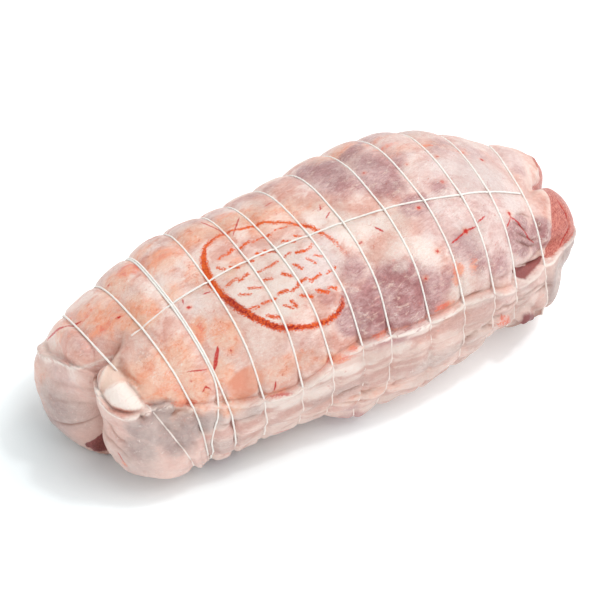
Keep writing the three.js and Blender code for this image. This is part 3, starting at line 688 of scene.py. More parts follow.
# blood spots: x, turn, radius, how dark
spots = [(-89.9, 57.6, 1, 0.8), (-94.9, 85.6, 1, 1), (-69.3, 107.6, 1.2, 0.9), (-63, 138.8, 0.9, 0.9),
    (-87, 144.4, 0.8, 0.6), (47.7, 135.6, 1.1, 0.9), (37.2, 144.8, 1, 0.9), (13.7, 116.4, 1.1, 0.7),
    (50.2, 112.4, 1.3, 0.9), (38.1, 78, 1, 0.6), (78.4, 83.2, 1, 0.9), (106.1, 83.2, 1.3, 1),
    (70.4, 102.8, 1.3, 0.5), (67.5, 132, 1.5, 0.9), (103.1, 127.2, 1.3, 0.9), (60, 84, 0.8, 0.7)]

# inspection mark: a plain oval of edible ink with plain dashes in it
inkMark = {
    "x": -26.8,
    "turn": 109.3,
    "halfLength": 29.8,
    "halfWidth": 36.5,
    "shear": 9.9 * degree,
    # clockwise from the right, seen from outside: degrees, half width of the line, tone (1 dark),
    # cover, outward push
    "line": [
        (0, 0.7, 0.5, 0.6, 0.5), (12, 0.6, 0.5, 0.45, 1), (22, 0.7, 0.5, 0.2, 0.9),
        (39, 0.8, 0.8, 0.35, -1.6), (47, 1.2, 0.9, 0.45, -1.7), (56, 1.4, 1, 0.7, 0.1),
        (66, 1.2, 0.7, 0.8, 0.2), (76, 1.3, 0.5, 1, -0.6), (90, 1.3, 0.5, 1, -2),
        (104, 1.5, 0.75, 1, -2.5), (118, 1.6, 0.9, 1, -1.5), (134, 1.7, 0.7, 1, -2.1),
        (147, 1.9, 0.8, 1, -2.2), (161, 2.05, 1, 1, -2.5), (172, 1.8, 1, 1, -2.5),
        (180, 1.6, 0.4, 1, -2.2), (196, 1.9, 0.25, 1, -2), (206, 1.9, 0.3, 1, -1.6),
        (218, 1.6, 0.4, 0.9, -0.4), (230, 1, 0.45, 0.8, 1), (242, 0.8, 0.45, 0.7, 0.4),
        (253, 0.8, 0.3, 0.7, 0.3), (268, 0.9, 0.2, 0.9, -2.2), (277, 1, 0.5, 0.9, -1),
        (287, 1, 0.2, 1, 0.4), (299, 0.8, 0.3, 0.8, -0.8), (314, 0.9, 0.2, 0.9, 0.1),
        (332, 0.9, 0.35, 0.8, 0.8), (346, 0.8, 0.45, 0.7, 0.4), (360, 0.7, 0.5, 0.6, 0.5),
    ],
    "rows": [-22, -13, -4, 5, 14, 22],
    "dashEvery": 6.2,
    "dashLength": 6.4,
    "dashWidth": 1.7,
    "dashMargin": 5,
    "seed": 5,
}


# points on the meat at x, turn pairs
def onMeat(pairs):
    x, turn = np.array(pairs, float).T
    return meatPoints(x, 0 * x, turn, softDetail)


def rollPatch(x, around, middleX, middleTurn, halfLength, halfWidth, strength, slant=0):
    u, w = turned(x - middleX, around(middleTurn), slant * degree)
    return strength * np.exp(-np.power(np.square(u / halfLength) + np.square(w / halfWidth), 1.4))


# one column of the ink line at each angle round the oval
def inkLine(angle, column):
    return np.interp(angle, [row[0] for row in inkMark["line"]], [row[column] for row in inkMark["line"]])


# distance across the oval's line, the angle round it, and below 0 inside it
def inkOval(x, around):
    u = (x - inkMark["x"]) / inkMark["halfLength"]
    w = around(inkMark["turn"]) / inkMark["halfWidth"]
    k = math.sin(inkMark["shear"])
    value = u * u + w * w - 2 * k * u * w - (1 - k * k)
    slopeU = (2 * u - 2 * k * w) / inkMark["halfLength"]
    slopeW = (2 * w - 2 * k * u) / inkMark["halfWidth"]
    across = value / np.maximum(np.hypot(slopeU, slopeW), 0.02)
    angle = np.mod(np.arctan2(w, u) / degree, 360)
    return np.clip(across - inkLine(angle, 4), -9, 9), angle, value


def inkDashes(x, around, inside):
    rng = np.random.default_rng(inkMark["seed"])
    gap = np.full(x.shape, 9.0)
    u, w = x - inkMark["x"], around(inkMark["turn"])
    for n, row in enumerate(inkMark["rows"]):
        chord = math.sqrt(max(0, 1 - (row / inkMark["halfWidth"]) ** 2))
        half = inkMark["halfLength"] * chord - inkMark["dashMargin"]
        count = int(2 * half / inkMark["dashEvery"])
        for i in range(count):
            cx = -half + (i + 0.5 + 0.3 * rng.uniform(-1, 1)) * 2 * half / count + 0.15 * row
            cw = row + rng.uniform(-1.5, 1.5)
            tilt = rng.uniform(-0.5, 0.5) + (0.9 if n % 2 else -0.2)
            length = inkMark["dashLength"] * rng.uniform(0.5, 1.0) / 2
            a, b = turned(u - cx, w - cw, tilt)
            halfWidth = inkMark["dashWidth"] / 2 * rng.uniform(0.6, 1.1)
            gap = np.minimum(gap, np.hypot(np.maximum(np.abs(a) - length, 0), b) - halfWidth)
    return np.where(inside < -0.1, gap, 9.0)


# works out every mask of the meat's material and writes it to the mesh
def paintMeat():
    x, cap, turn = meatX, meatCap, np.mod(meatTurn, 360)
    _, direction, _ = bodyRays(x, cap, turn)
    place = meatPoints(x, cap, turn, softDetail)
    ray = direction / np.linalg.norm(direction, axis=-1)[..., None]
    size = follow(roll["halfWidth"], x) * degree

    def around(centre):
        return (np.mod(turn - centre + 180, 360) - 180) * size

    inTube = cap == 0
    onTube = np.where(inTube, 1.0, np.clip(1 - np.abs(cap) / 25, 0, 1))
    masks = {"ends": 1 - onTube * ease(-105, -92, x) * (1 - ease(112, 124, x))}
    for name, clouds in tissue.items():
        spread = np.max([rollPatch(x, around, *cloud) for cloud in clouds], axis=0) * onTube
        for ex, ey, ez, reach, strength in endTissue[name]:
            away = np.linalg.norm(place - np.array((ex, ey, ez), float), axis=-1) / reach
            spread = np.maximum(spread, strength * np.exp(-np.power(away, 2.6)))
        masks[name] = spread
    for tint, _, _, points in patches:
        inside = masks.setdefault(tint, np.full(x.shape, -6.0))
        near = nearBox(place, points, 7)
        if near.any():
            depth = patchDepth(place[near], ray[near], points)
            if tint in ("redFace", "openFlesh"):
                below, reach = flapDepth(x[near], cap[near], turn[near], place[near])
                depth = np.where(reach > 0.3, np.minimum(depth, -0.3 - below), depth)
            inside[near] = np.maximum(inside[near], np.clip(depth, -6, 6))
    across, width = np.full(x.shape, 8.0), np.zeros(x.shape)
    for halfWidth, points in veins:
        line = onMeat(points) if len(points[0]) == 2 else np.array(points, float)
        close = nearBox(place, line, 6)
        if not close.any():
            continue
        distance, side, along = strokeDistance(place[close], ray[close], line)
        taper = np.power(np.clip(4 * (along + 0.04) * (1.04 - along), 0, 1), 0.5)
        closer = distance < np.abs(across[close])
        endGap = (along > 0.001) & (along < 0.999) | (distance < 1.0)
        across[close] = np.where(closer, distance * np.where(side == 0, 1, side), across[close])
        here = 0.5 * halfWidth * taper * endGap * np.clip(3 - distance, 0, 1)
        width[close] = np.where(closer, here, width[close])
    masks["veinAcross"], masks["veinWidth"] = across, width
    spotGap, spotTone = np.full(x.shape, 5.0), np.zeros(x.shape)
    for sx, sTurn, radius, tone in spots:
        gap = np.hypot(x - sx, around(sTurn)) - radius
        spotTone = np.where(gap < spotGap, tone, spotTone)
        spotGap = np.minimum(spotGap, gap)
    masks["spotGap"], masks["spotTone"] = np.where(inTube, spotGap, 5), spotTone
    across, angle, inside = inkOval(x, around)
    for column, name in ((1, "inkWidth"), (2, "inkTone"), (3, "inkCover")):
        masks[name] = inkLine(angle, column)
    marked = inTube & (np.abs(around(inkMark["turn"])) < 60)
    masks["inkAcross"] = np.where(marked, across, 9)
    masks["dashGap"] = inkDashes(x, around, np.where(marked, inside, 1))
    # painted shade in creases, deep pits and the cleft between the left lobes
    masks["paintedFoldShade"] = foldShade(place, ray, x)
    masks["ridge"] = strokeShade(place, ray, 1)
    below, reach = flapDepth(x, cap, turn, place)
    masks["flap"] = ease(-0.6, 0.6, below) * reach
    # the flap's edge: white fat with painted light on it, and a band under it that is partly painted shade
    shown = np.where(inTube, follow(seamShows, x), 0.9)
    masks["seamFatAndLight"] = bell((below - 0.8) / 0.9) * reach * shown
    masks["underSeamTintAndShade"] = bell((below + 1.2) / 0.9) * reach * np.where(inTube, shown, 0.3)
    masks["salmon"] = salmonPatch(x, around)
    # height of the flap's wrinkles, which the material turns into painted light on their ridges and painted
    # shade between them
    masks["wrinkle"] = np.where(reach > 0.3, wrinklesAt(place) * ease(2, 7, below), 0)
    for name, values in masks.items():
        addMask(meat, name, np.concatenate([values.ravel(), values[0, :1], values[-1, :1]]))


# smooth muscle that shows through a thin place in the skin
salmon = {
    "x": -62.5,
    "turn": 158.5,
    "halfLength": 8.5,
    "halfWidth": 7.2,
    "slant": -14,
    "squareness": 2.6,
}


def salmonPatch(x, around):
    u, w = turned(x - salmon["x"], around(salmon["turn"]), salmon["slant"] * degree)
    a, b = u / salmon["halfLength"], w / salmon["halfWidth"]
    n = salmon["squareness"]
    return np.clip(1.6 - np.power(np.abs(a) ** n + np.abs(b) ** n, 1 / n), 0, 1.6)


# 1 in the middle of each stroke that goes in (sign -1), for the painted shade of creases, or stands out
# (sign 1), for the whitened ridges
def strokeShade(place, ray, sign):
    shade = np.zeros(place.shape[:-1])
    for height, width, points in strokes:
        near = nearBox(place, points, 8)
        if sign * height > 0 and near.any():
            distance, _, along = strokeDistance(place[near], ray[near], points)
            line = bell(distance / (0.8 * width)) * endTaper(along) * min(1, sign * height / 1.6)
            shade[near] = np.maximum(shade[near], line)
    return shade


# painted shade for creases, deep pits and the cleft between the left lobes: how deep in a crease each place
# is, 0 where it isn't in one
def foldShade(place, ray, x):
    shade = strokeShade(place, ray, -1)
    for dx, dy, dz, height, reach in dimples:
        if height < -1:
            off = np.linalg.norm(place - np.array((dx, dy, dz)), axis=-1)
            shade = np.maximum(shade, 1.2 * bell(off / (1.3 * reach)))
    y, z = place[..., 1], place[..., 2]
    off = y - follow(leftCreaseLine, z)
    left = bell(off / 2.2) * ease(-104, -112, place[..., 0]) * (x < -90)
    return np.maximum(shade, np.clip(left, 0, 1))


paintMeat()
print("tissue painted")

# the strings; turns are in degrees round the roll
stringShape = {
    "radius": 0.5,
    "plies": 3,
    "plyDepth": 0.1,
    "twistPitch": 4.2,
    "sides": 9,
    "stepsPerTie": 520,
    "overLong": 1.0,
    "overLongWidth": 2.2,
    "sunk": 0.22,
    "hiddenSunk": 0.3,
    "longFrom": -95.5,
    "longTo": 119.5,
    "longSteps": 700,
    "longCover": 0.75,
    "longCoverEnd": (-80, -74),
}

# how the fat of the flap grows over the ties; each pair is the turns between which a change takes place
tieCover = {
    "firstDeep": 4.5,
    "firstLight": 0.7,
    "firstStart": (115, 119),
    "firstRise": (143, 150),
    "firstEnd": (225, 240),
    "beforeEdge": 1,
    "pastEdge": 5,
    "end": (255, 275),
    # share of the cover for each tie; those after the last have it in full
    "shares": [0.0, 0.0, 0.0, 0.0, 0.55],
}


# closed convex outline round points in a plane, as a reach for each direction
def hullReach(angles, radii):
    pts = np.stack([radii * np.cos(angles), radii * np.sin(angles)], -1)
    order = np.lexsort((pts[:, 1], pts[:, 0]))

    def half(indices):
        chain = []
        for i in indices:
            while len(chain) > 1:
                a, b, c = pts[chain[-2]], pts[chain[-1]], pts[i]
                if (b[0] - a[0]) * (c[1] - a[1]) - (b[1] - a[1]) * (c[0] - a[0]) > 0:
                    break
                chain.pop()
            chain.append(i)
        return chain[:-1]

    hull = np.array(half(order) + half(order[::-1]))
    reach = np.zeros(len(angles))
    a, b = pts[hull], pts[np.roll(hull, -1)]
    for n, angle in enumerate(angles):
        d = np.array([math.cos(angle), math.sin(angle)])
        cross = a[:, 0] * b[:, 1] - a[:, 1] * b[:, 0]
        down = d[0] * (b[:, 1] - a[:, 1]) - d[1] * (b[:, 0] - a[:, 0])
        with np.errstate(divide="ignore", invalid="ignore"):
            r = cross / down
        sideA = d[0] * a[:, 1] - d[1] * a[:, 0]
        sideB = d[0] * b[:, 1] - d[1] * b[:, 0]
        ok = (sideA <= 1e-9) & (sideB >= -1e-9) & (r > 0)
        reach[n] = np.min(r[ok]) if ok.any() else radii[n]
    return np.maximum(reach, radii)


# round string with twisted plies swept along a path
def sweepString(path, outward, closed):
    n = len(path)
    if closed:
        ahead = np.roll(path, -1, 0) - np.roll(path, 1, 0)
    else:
        ahead = np.gradient(path, axis=0)
    ahead /= np.linalg.norm(ahead, axis=1)[:, None]
    side = np.cross(ahead, outward)
    side /= np.linalg.norm(side, axis=1)[:, None]
    top = np.cross(side, ahead)
    step = np.linalg.norm(np.diff(path, axis=0, append=path[:1]), axis=1)
    run = np.concatenate([[0], np.cumsum(step)[:-1]])
    total = step.sum() if closed else run[-1]
    turns = max(1, round(total / stringShape["twistPitch"]))
    twist = run / total * turns * 2 * math.pi
    phi = np.arange(stringShape["sides"]) / stringShape["sides"] * 2 * math.pi
    wave = np.cos(stringShape["plies"] * (phi[None] - twist[:, None] / stringShape["plies"]))
    radius = stringShape["radius"] * (1 + stringShape["plyDepth"] * wave)
    outwards = np.cos(phi)[None, :, None] * top[:, None] + np.sin(phi)[None, :, None] * side[:, None]
    ring = path[:, None] + radius[..., None] * outwards
    return ring, gridFaces(n, stringShape["sides"], closedRows=closed)


# how far each run of a tie is grown over by the fat of the flap: 1 is covered, and over 1 it runs inside
def coveredTie(index, turns):
    if index == 0:
        risen = ease(*tieCover["firstRise"], turns)
        hidden = tieCover["firstDeep"] * ease(*tieCover["firstStart"], turns) * (1 - risen)
        return np.maximum(hidden, tieCover["firstLight"] * risen * (1 - ease(*tieCover["firstEnd"], turns)))
    edge = float(follow(flapEdgeLine, float(tieXs[index])))
    amount = tieCover["shares"][index] if index < len(tieCover["shares"]) else 1.0
    grown = ease(edge - tieCover["beforeEdge"], edge + tieCover["pastEdge"], turns)
    return amount * grown * (1 - ease(*tieCover["end"], turns))


# writes a swept string as a piece, with how far the fat soaks each part of it
def stringPiece(name, path, outward, closed, covered):
    ring, faces = sweepString(path, outward, closed)
    piece = buildMesh(name, ring.reshape(-1, 3), faces)
    addMask(piece, "soaked", np.repeat(covered, stringShape["sides"]))
    return piece


def buildTie(index):
    turns = np.linspace(0, 360, stringShape["stepsPerTie"], endpoint=False)
    x = tieX(index, turns)
    surface = meatPoints(x, 0 * x, turns, softDetail)
    centre = surface.mean(0)
    ray = surface - centre
    reach = np.linalg.norm(ray[:, 1:], axis=1)
    angles = np.arctan2(ray[:, 2], ray[:, 1])
    away = np.abs(turns - follow(longStringLine, float(tieXs[index]))) * 0.95
    inner = 0 < index < len(tieXs) - 1
    over = stringShape["overLong"] * bell(away / stringShape["overLongWidth"]) if inner else 0
    hull = hullReach(angles, reach + stringShape["radius"] + over)
    covered = coveredTie(index, turns)
    hidden = np.maximum(covered - 1, 0)
    covered = np.minimum(covered, 1)
    sunk = (reach - stringShape["sunk"]) * covered
    hull = hull * (1 - covered) + sunk - stringShape["hiddenSunk"] * hidden
    path = centre + ray * (hull / reach)[:, None]
    out = ray / np.linalg.norm(ray, axis=1)[:, None]
    return stringPiece("tie_string_%02d" % (index + 1), path, out, True, covered)


def buildLongString():
    x = np.linspace(stringShape["longFrom"], stringShape["longTo"], stringShape["longSteps"])
    turn = follow(longStringLine, x)
    surface = meatPoints(x, 0 * x, turn, softDetail)
    before, after = (meatPoints(x, 0 * x, turn + step, softDetail) for step in (-2, 2))
    across = before - after
    ahead = np.gradient(surface, axis=0)
    up = np.cross(ahead, across)
    up /= np.linalg.norm(up, axis=1)[:, None]
    up *= np.sign(up[:, 2:3])
    covered = stringShape["longCover"] * (1 - ease(*stringShape["longCoverEnd"], x))
    height = stringShape["radius"] * (1 - covered) - stringShape["sunk"] * covered
    path = surface + up * height[:, None]
    return stringPiece("long_string", path, up, False, covered)


strings = [buildTie(i) for i in range(len(tieXs))]
longString = buildLongString()
print("strings made")

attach(meat, "root")
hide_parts("leg_meat")
for i, tie in enumerate(strings):
    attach(tie, "root")
    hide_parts("tie_%02d" % (i + 1))
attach(longString, "root")
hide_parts("long_tie")


# the node tree of the material in hand, to which the helpers below add their nodes
shading = {"tree": None}


def newNode(kind):
    return shading["tree"].nodes.new("ShaderNode" + kind)


def newMaterial(name):
    material = bpy.data.materials.new(name)
    material.use_nodes = True
    shading["tree"] = material.node_tree
    return material, material.node_tree.nodes["Principled BSDF"]


# sets a socket to a number, a color or one of the meat's tones, or links another node's output to it
def plug(value, socket):
    if isinstance(value, str):
        value = meatTones[value]
    if isinstance(value, bpy.types.NodeSocket):
        shading["tree"].links.new(value, socket)
    elif isinstance(value, tuple) and len(value) == 3 and socket.type == "RGBA":
        socket.default_value = (*value, 1)
    else:
        socket.default_value = value


def plugAll(node, values):
    for name, value in values.items():
        plug(value, node.inputs[name])


def maths(kind, a, b=0.0, c=0.0):
    node = newNode("Math")
    node.operation = kind
    for value, socket in zip((a, b, c), node.inputs):
        plug(value, socket)
    return node.outputs[0]


# a * b + c
def scaled(a, b, c):
    return maths("MULTIPLY_ADD", a, b, c)


def between(value, low, high):
    node = newNode("MapRange")
    node.interpolation_type = "SMOOTHSTEP"
    plugAll(node, {"Value": value, "From Min": low, "From Max": high})
    return node.outputs["Result"]


def layer(amount, under, over, kind="MIX"):
    node = newNode("Mix")
    node.data_type = "RGBA"
    node.blend_type = kind
    for value, index in ((amount, 0), (under, 6), (over, 7)):
        plug(value, node.inputs[index])
    return node.outputs[2]


# noise on the meat: size of its grains in mm, stretched along the roll where stretch is over 1
def grain(size, detail=3.0, rough=0.55, stretch=1.0, twist=0.0, tilt=0.0, warp=0.0):
    mapping = newNode("Mapping")
    mapping.vector_type = "TEXTURE"
    plugAll(mapping, {
        "Vector": newNode("TexCoord").outputs["Object"],
        "Rotation": (0, tilt * degree, twist * degree),
        "Scale": (size * stretch * millimetre, size * millimetre, size * millimetre),
    })
    noise = newNode("TexNoise")
    plugAll(noise, {
        "Vector": mapping.outputs["Vector"],
        "Scale": 1,
        "Detail": detail,
        "Roughness": rough,
        "Distortion": warp,
    })
    return noise.outputs["Fac"]


def mask(name):
    node = newNode("Attribute")
    node.attribute_name = name
    return node.outputs["Fac"]


# a texture's distance from its middle value, 0.5
def centred(noise):
    return maths("SUBTRACT", noise, 0.5)


# a painted mask whose edge a grain pushes in and out
def ragged(value, noise, push, soft):
    return between(scaled(centred(noise), push, value), 0.5 - soft, 0.5 + soft)


# thin lines where a grain crosses its middle
def lines(noise, width):
    return between(maths("ABSOLUTE", centred(noise)), width, 0.0)


def times(*values):
    product = values[0]
    for value in values[1:]:
        product = maths("MULTIPLY", product, value)
    return product


# colors of the meat, as linear red, green and blue
meatTones = {
    "fat": (0.80, 0.52, 0.435),
    "fatPale": (0.90, 0.70, 0.625),
    "fatPink": (0.73, 0.39, 0.32),
    "mottle": (0.76, 0.33, 0.25),
    # wrapPale and wrapPink paint light on the ridges of the flap's folds and shade between them; on the ends
    # they make random bands
    "wrap": (0.74, 0.515, 0.455),
    "wrapPale": (0.845, 0.68, 0.61),
    "wrapPink": (0.635, 0.36, 0.31),
    "muscle": (0.47, 0.225, 0.225),
    "muscleDark": (0.36, 0.145, 0.15),
    "muscleLight": (0.63, 0.41, 0.40),
    "sinew": (0.95, 0.88, 0.84),
    "cream": (0.94, 0.81, 0.74),
    "peach": (0.89, 0.53, 0.38),
    "orange": (0.90, 0.36, 0.21),
    "blush": (0.80, 0.13, 0.06),
    # greys of silverskin, also used as painted shade
    "silverSkinAndShade": (0.52, 0.42, 0.39),
    "silverSkinAndShadeDark": (0.38, 0.29, 0.275),
    "thinSkin": (0.82, 0.62, 0.51),
    "veil": (0.74, 0.585, 0.57),
    "salmon": (0.77, 0.29, 0.18),
    "salmonPale": (0.82, 0.40, 0.28),
    "blood": (0.58, 0.012, 0.014),
    "thinVein": (0.60, 0.13, 0.08),
    "cutRed": (0.40, 0.075, 0.06),
    "cutLight": (0.70, 0.27, 0.21),
    "openFlesh": (0.30, 0.08, 0.08),
    "maroon": (0.20, 0.035, 0.035),
    "maroonLight": (0.38, 0.11, 0.10),
    "lump": (0.28, 0.08, 0.085),
    "whiteFat": (0.96, 0.87, 0.80),
    "inkGlow": (0.90, 0.22, 0.05),
    "inkOrange": (0.80, 0.12, 0.015),
    "inkRed": (0.66, 0.045, 0.015),
    "inkDark": (0.34, 0.015, 0.012),
    # brown-tinted painted shade for creases
    "paintedCreaseShade": (0.52, 0.34, 0.28),
}

# how strongly each layer of the meat shows
meatShares = {
    "fat": 0.6,
    "mottle": 0.3,
    "flap": 0.88,
    "lean": 0.95,
    "skinThreads": 0.45,
    "peach": 0.8,
    # silverskin and painted shade
    "silverSkinAndShade": 0.85,
    "cream": 0.78,
    "veil": 0.62,
    "web": 0.6,
    # the flap's edge: partly painted shade under it, white fat with painted light on it
    "underSeamTintAndShade": 0.75,
    "seamFatAndLight": 0.95,
    "ridge": 0.75,
    "blush": 0.75,
    "salmon": 0.8,
    "thinSkin": 0.8,
    "whiteFat": 0.92,
    "openFlesh": 0.96,
    "maroon": 0.94,
    "lump": 0.94,
    "scrap": 0.85,
    "vein": 0.94,
    "halo": 0.5,
    # painted shade in creases
    "paintedFoldShade": 0.85,
    "threads": 0.21,
    "speckle": 0.25,
    "sinew": 0.7,
    "net": 0.85,
}
meatShine = {
    "Specular IOR Level": 0.12,
    "Coat Weight": 0.36,
    "Coat Roughness": 0.12,
    "Coat IOR": 1.35,
    "Subsurface Weight": 0.06,
    "Subsurface Radius": (1.0, 0.45, 0.3),
    "Subsurface Scale": 0.001,
}
meatBump = {"Strength": 0.8, "Distance": 0.0009}


def addBump(height, values):
    bump = newNode("Bump")
    plugAll(bump, {"Height": height, **values})
    return bump.outputs["Normal"]


def lambMeat():
    material, shader = newMaterial("raw_lamb")
    share = meatShares
    cloud = grain(13, 4, 0.56, warp=0.4)
    cloudWide = grain(34, 2, 0.5)
    patchy = grain(5.5, 6, 0.66, stretch=1.6, twist=20, warp=0.6)
    feather = grain(2.6, 5, 0.62, stretch=3.2, twist=14, tilt=-6, warp=0.7)
    fine = grain(1.9, 5, 0.72, stretch=1.6, twist=-25, warp=0.4)
    along = grain(0.8, 4, 0.6, stretch=8, twist=12, tilt=-6, warp=0.6)
    across = grain(0.8, 4, 0.6, stretch=0.2, twist=16, warp=0.6)
    ends = mask("ends")
    flap = mask("flap")
    speck = grain(1.1, 3, 0.65)
    dust = grain(0.55, 2, 0.75)
    color = layer(between(cloud, 0.38, 0.62), "fatPink", "fatPale")

    # lays a tone over what is there, as far as the product of the amounts
    def cover(tone, *amounts, kind="MIX"):
        nonlocal color
        color = layer(times(*amounts), color, tone, kind)

    cover("fat", between(cloudWide, 0.4, 0.6), share["fat"])
    cover("mottle", between(patchy, 0.52, 0.68), share["mottle"])
    # fat of the flap, drawn out along the roll: pale on its folds as painted light, pinker between them as
    # painted shade, broken by a random grain; random bands on the ends
    folds = scaled(mask("wrinkle"), 0.4, grain(2.6, 4, 0.6, stretch=10, tilt=7, warp=0.3))
    bands = grain(9, 2, 0.4, stretch=6, twist=86)
    wrapTone = layer(ends, between(folds, 0.3, 0.62), times(between(bands, 0.3, 0.7), 0.85))
    wrapColor = layer(wrapTone, "wrapPink", "wrapPale")
    wrapColor = layer(scaled(ends, 0.35, 0.35), wrapColor, "wrap")
    cover(wrapColor, flap, share["flap"])
    # lean meat under a thin skin, darker where the skin is thinnest
    lean = mask("muscle")
    fibres = grain(1.5, 4, 0.6, stretch=0.16, twist=18, warp=0.4)
    leanTone = scaled(centred(fibres), 0.45, cloud)
    leanColor = layer(times(between(leanTone, 0.34, 0.72), 0.75), "muscle", "muscleLight")
    thinnest = times(between(lean, 0.6, 1.2), between(cloud, 0.7, 0.4), 0.7)
    leanColor = layer(thinnest, leanColor, "muscleDark")
    wisps = layer(0.7, feather, patchy)
    leanCover = ragged(lean, wisps, 0.55, 0.26)
    cover(leanColor, leanCover, share["lean"])
    skinThreads = times(between(feather, 0.53, 0.64), between(fine, 0.4, 0.54), share["skinThreads"])
    cover("thinSkin", leanCover, skinThreads)
    # clouds of fat
    peach = ragged(mask("peach"), patchy, 1.0, 0.38)
    peachColor = layer(between(patchy, 0.42, 0.68), "peach", "orange")
    cover(peachColor, peach, share["peach"])
    # silverskin, partly painted shade on the low sides
    silverSkinAndShade = ragged(mask("silverSkinAndShade"), cloud, 0.7, 0.48)
    silverSkinAndShadeColor = layer(between(cloud, 0.34, 0.64), "silverSkinAndShadeDark", "silverSkinAndShade")
    cover(silverSkinAndShadeColor, silverSkinAndShade, share["silverSkinAndShade"])
    cream = ragged(mask("cream"), wisps, 1.1, 0.32)
    cover("cream", cream, share["cream"])
    veil = times(ragged(mask("veil"), patchy, 0.8, 0.4), scaled(leanCover, -0.7, 1.0))
    cover("veil", veil, share["veil"])
    # fibres and thin skins: fine light and dark threads
    thready = layer(between(cloudWide, 0.44, 0.56), along, across)
    thready = layer(times(ends, 0.8), thready, (0.5, 0.5, 0.5))
    thready = layer(1.0, thready, (0.36, 0.36, 0.36), "SUBTRACT")
    thready = layer(1.0, thready, (3.4, 3.4, 3.4), "MULTIPLY")
    calm = scaled(flap, -0.5, 1.0)
    cover(thready, calm, share["threads"], kind="SOFT_LIGHT")
    cover(between(fine, 0.34, 0.66), calm, share["speckle"], kind="SOFT_LIGHT")
    calm = times(calm, scaled(leanCover, -0.4, 1.0))
    pale = times(between(cloud, 0.42, 0.56), between(ends, 1.0, 0.2), calm, share["sinew"])
    cover("sinew", lines(along, 0.02), pale)
    web = grain(6, 3, 0.55, warp=0.8)
    webLines = times(lines(web, 0.012), between(feather, 0.5, 0.62), share["web"])
    cover("sinew", webLines)
    net = grain(9, 4, 0.55, warp=0.8)
    netShown = times(between(patchy, 0.53, 0.6), between(ends, 0.9, 0.1), calm, share["net"])
    cover("thinVein", lines(net, 0.008), netShown)
    # white fat along the flap's edge, with painted light where the edge catches it; a pinker band in the
    # groove under it, partly painted shade; and whitened raised ridges
    cover("mottle", mask("underSeamTintAndShade"), between(fine, 0.3, 0.6), share["underSeamTintAndShade"])
    cover("whiteFat", mask("seamFatAndLight"), between(feather, 0.34, 0.5), share["seamFatAndLight"])
    cover("whiteFat", mask("ridge"), between(fine, 0.3, 0.5), share["ridge"])
    # red and orange blotches
    blush = ragged(mask("blush"), layer(0.5, fine, along), 3.0, 0.35)
    blushColor = layer(between(patchy, 0.4, 0.6), "blush", "orange")
    cover(blushColor, blush, between(speck, 0.2, 0.5), share["blush"])
    thin = between(scaled(cloud, 0.25, mask("salmon")), 0.5, 0.8)
    thinColor = layer(between(cloud, 0.4, 0.62), "salmon", "salmonPale")
    cover(thinColor, thin, share["salmon"])
    # patches with an edge of their own
    wavy = times(centred(fine), 2.2)

    def within(name, soft=0.35, wave=1.0):
        return between(scaled(wavy, wave, mask(name)), -soft, soft)

    cover("thinSkin", within("thinSkin", 2.0), share["thinSkin"])
    fatColor = layer(between(feather, 0.25, 0.5), "wrapPale", "whiteFat")
    cover(fatColor, within("whiteFat", 1.1), share["whiteFat"])
    fibre = grain(1.5, 5, 0.65, stretch=0.25, twist=-40, warp=0.4)
    cutColor = layer(between(fibre, 0.34, 0.66), "cutRed", "cutLight")
    cover(cutColor, within("redFace"))
    openColor = layer(between(fibre, 0.34, 0.7), "openFlesh", "maroonLight")
    cover(openColor, within("openFlesh", 0.3, 0.35), share["openFlesh"])
    maroonColor = layer(between(fibre, 0.4, 0.7), "maroon", "maroonLight")
    cover(maroonColor, within("maroon"), share["maroon"])
    cover("lump", within("lump", 0.6, 0.5), share["lump"])
    cover("blush", within("scrap", 0.8), between(fine, 0.36, 0.6), share["scrap"])
    # vessels and spots
    wobble = times(centred(speck), 1.3)
    offLine = maths("ABSOLUTE", maths("ADD", mask("veinAcross"), wobble))
    width = mask("veinWidth")
    vein = times(between(maths("SUBTRACT", width, offLine), -0.4, 0.2),
                 between(width, 0.02, 0.2), between(dust, 0.26, 0.46))
    cover("blood", vein, share["vein"])
    halo = between(scaled(wobble, 1.8, mask("spotGap")), 1.6, -0.6)
    cover("orange", halo, mask("spotTone"), share["halo"])
    spot = between(scaled(wobble, 1.6, mask("spotGap")), 0.2, -0.6)
    cover("blood", spot, mask("spotTone"))
    # ink of the plain inspection mark
    offOval = maths("ABSOLUTE", maths("ADD", mask("inkAcross"), wobble))
    inkGap = maths("SUBTRACT", offOval, mask("inkWidth"))
    grit = between(grain(1.0, 2, 0.6), 0.36, 0.64)
    grains = between(grain(0.6, 1, 0.5), 0.36, 0.64)
    inkTone = layer(between(scaled(grit, 0.8, mask("inkTone")), 0.55, 1.35), "inkOrange", "inkRed")
    darkGrains = between(scaled(mask("inkTone"), 0.9, times(grit, grains)), 0.7, 1.25)
    inkTone = layer(darkGrains, inkTone, "inkDark")
    inkTone = layer(times(between(grains, 0.35, 0.0), 0.45), inkTone, "inkGlow")
    broken = between(maths("ADD", dust, mask("inkCover")), 0.9, 1.15)
    inkGap = scaled(maths("SUBTRACT", grains, 0.55), 1.2, inkGap)
    ink = times(between(inkGap, 0.25, -0.2), broken)
    cover(inkTone, ink)
    dash = scaled(centred(grains), 0.9, mask("dashGap"))
    dash = between(maths("ADD", dash, wobble), 0.25, -0.25)
    dashColor = layer(times(grit, grains), "inkOrange", "inkRed")
    cover(dashColor, dash)
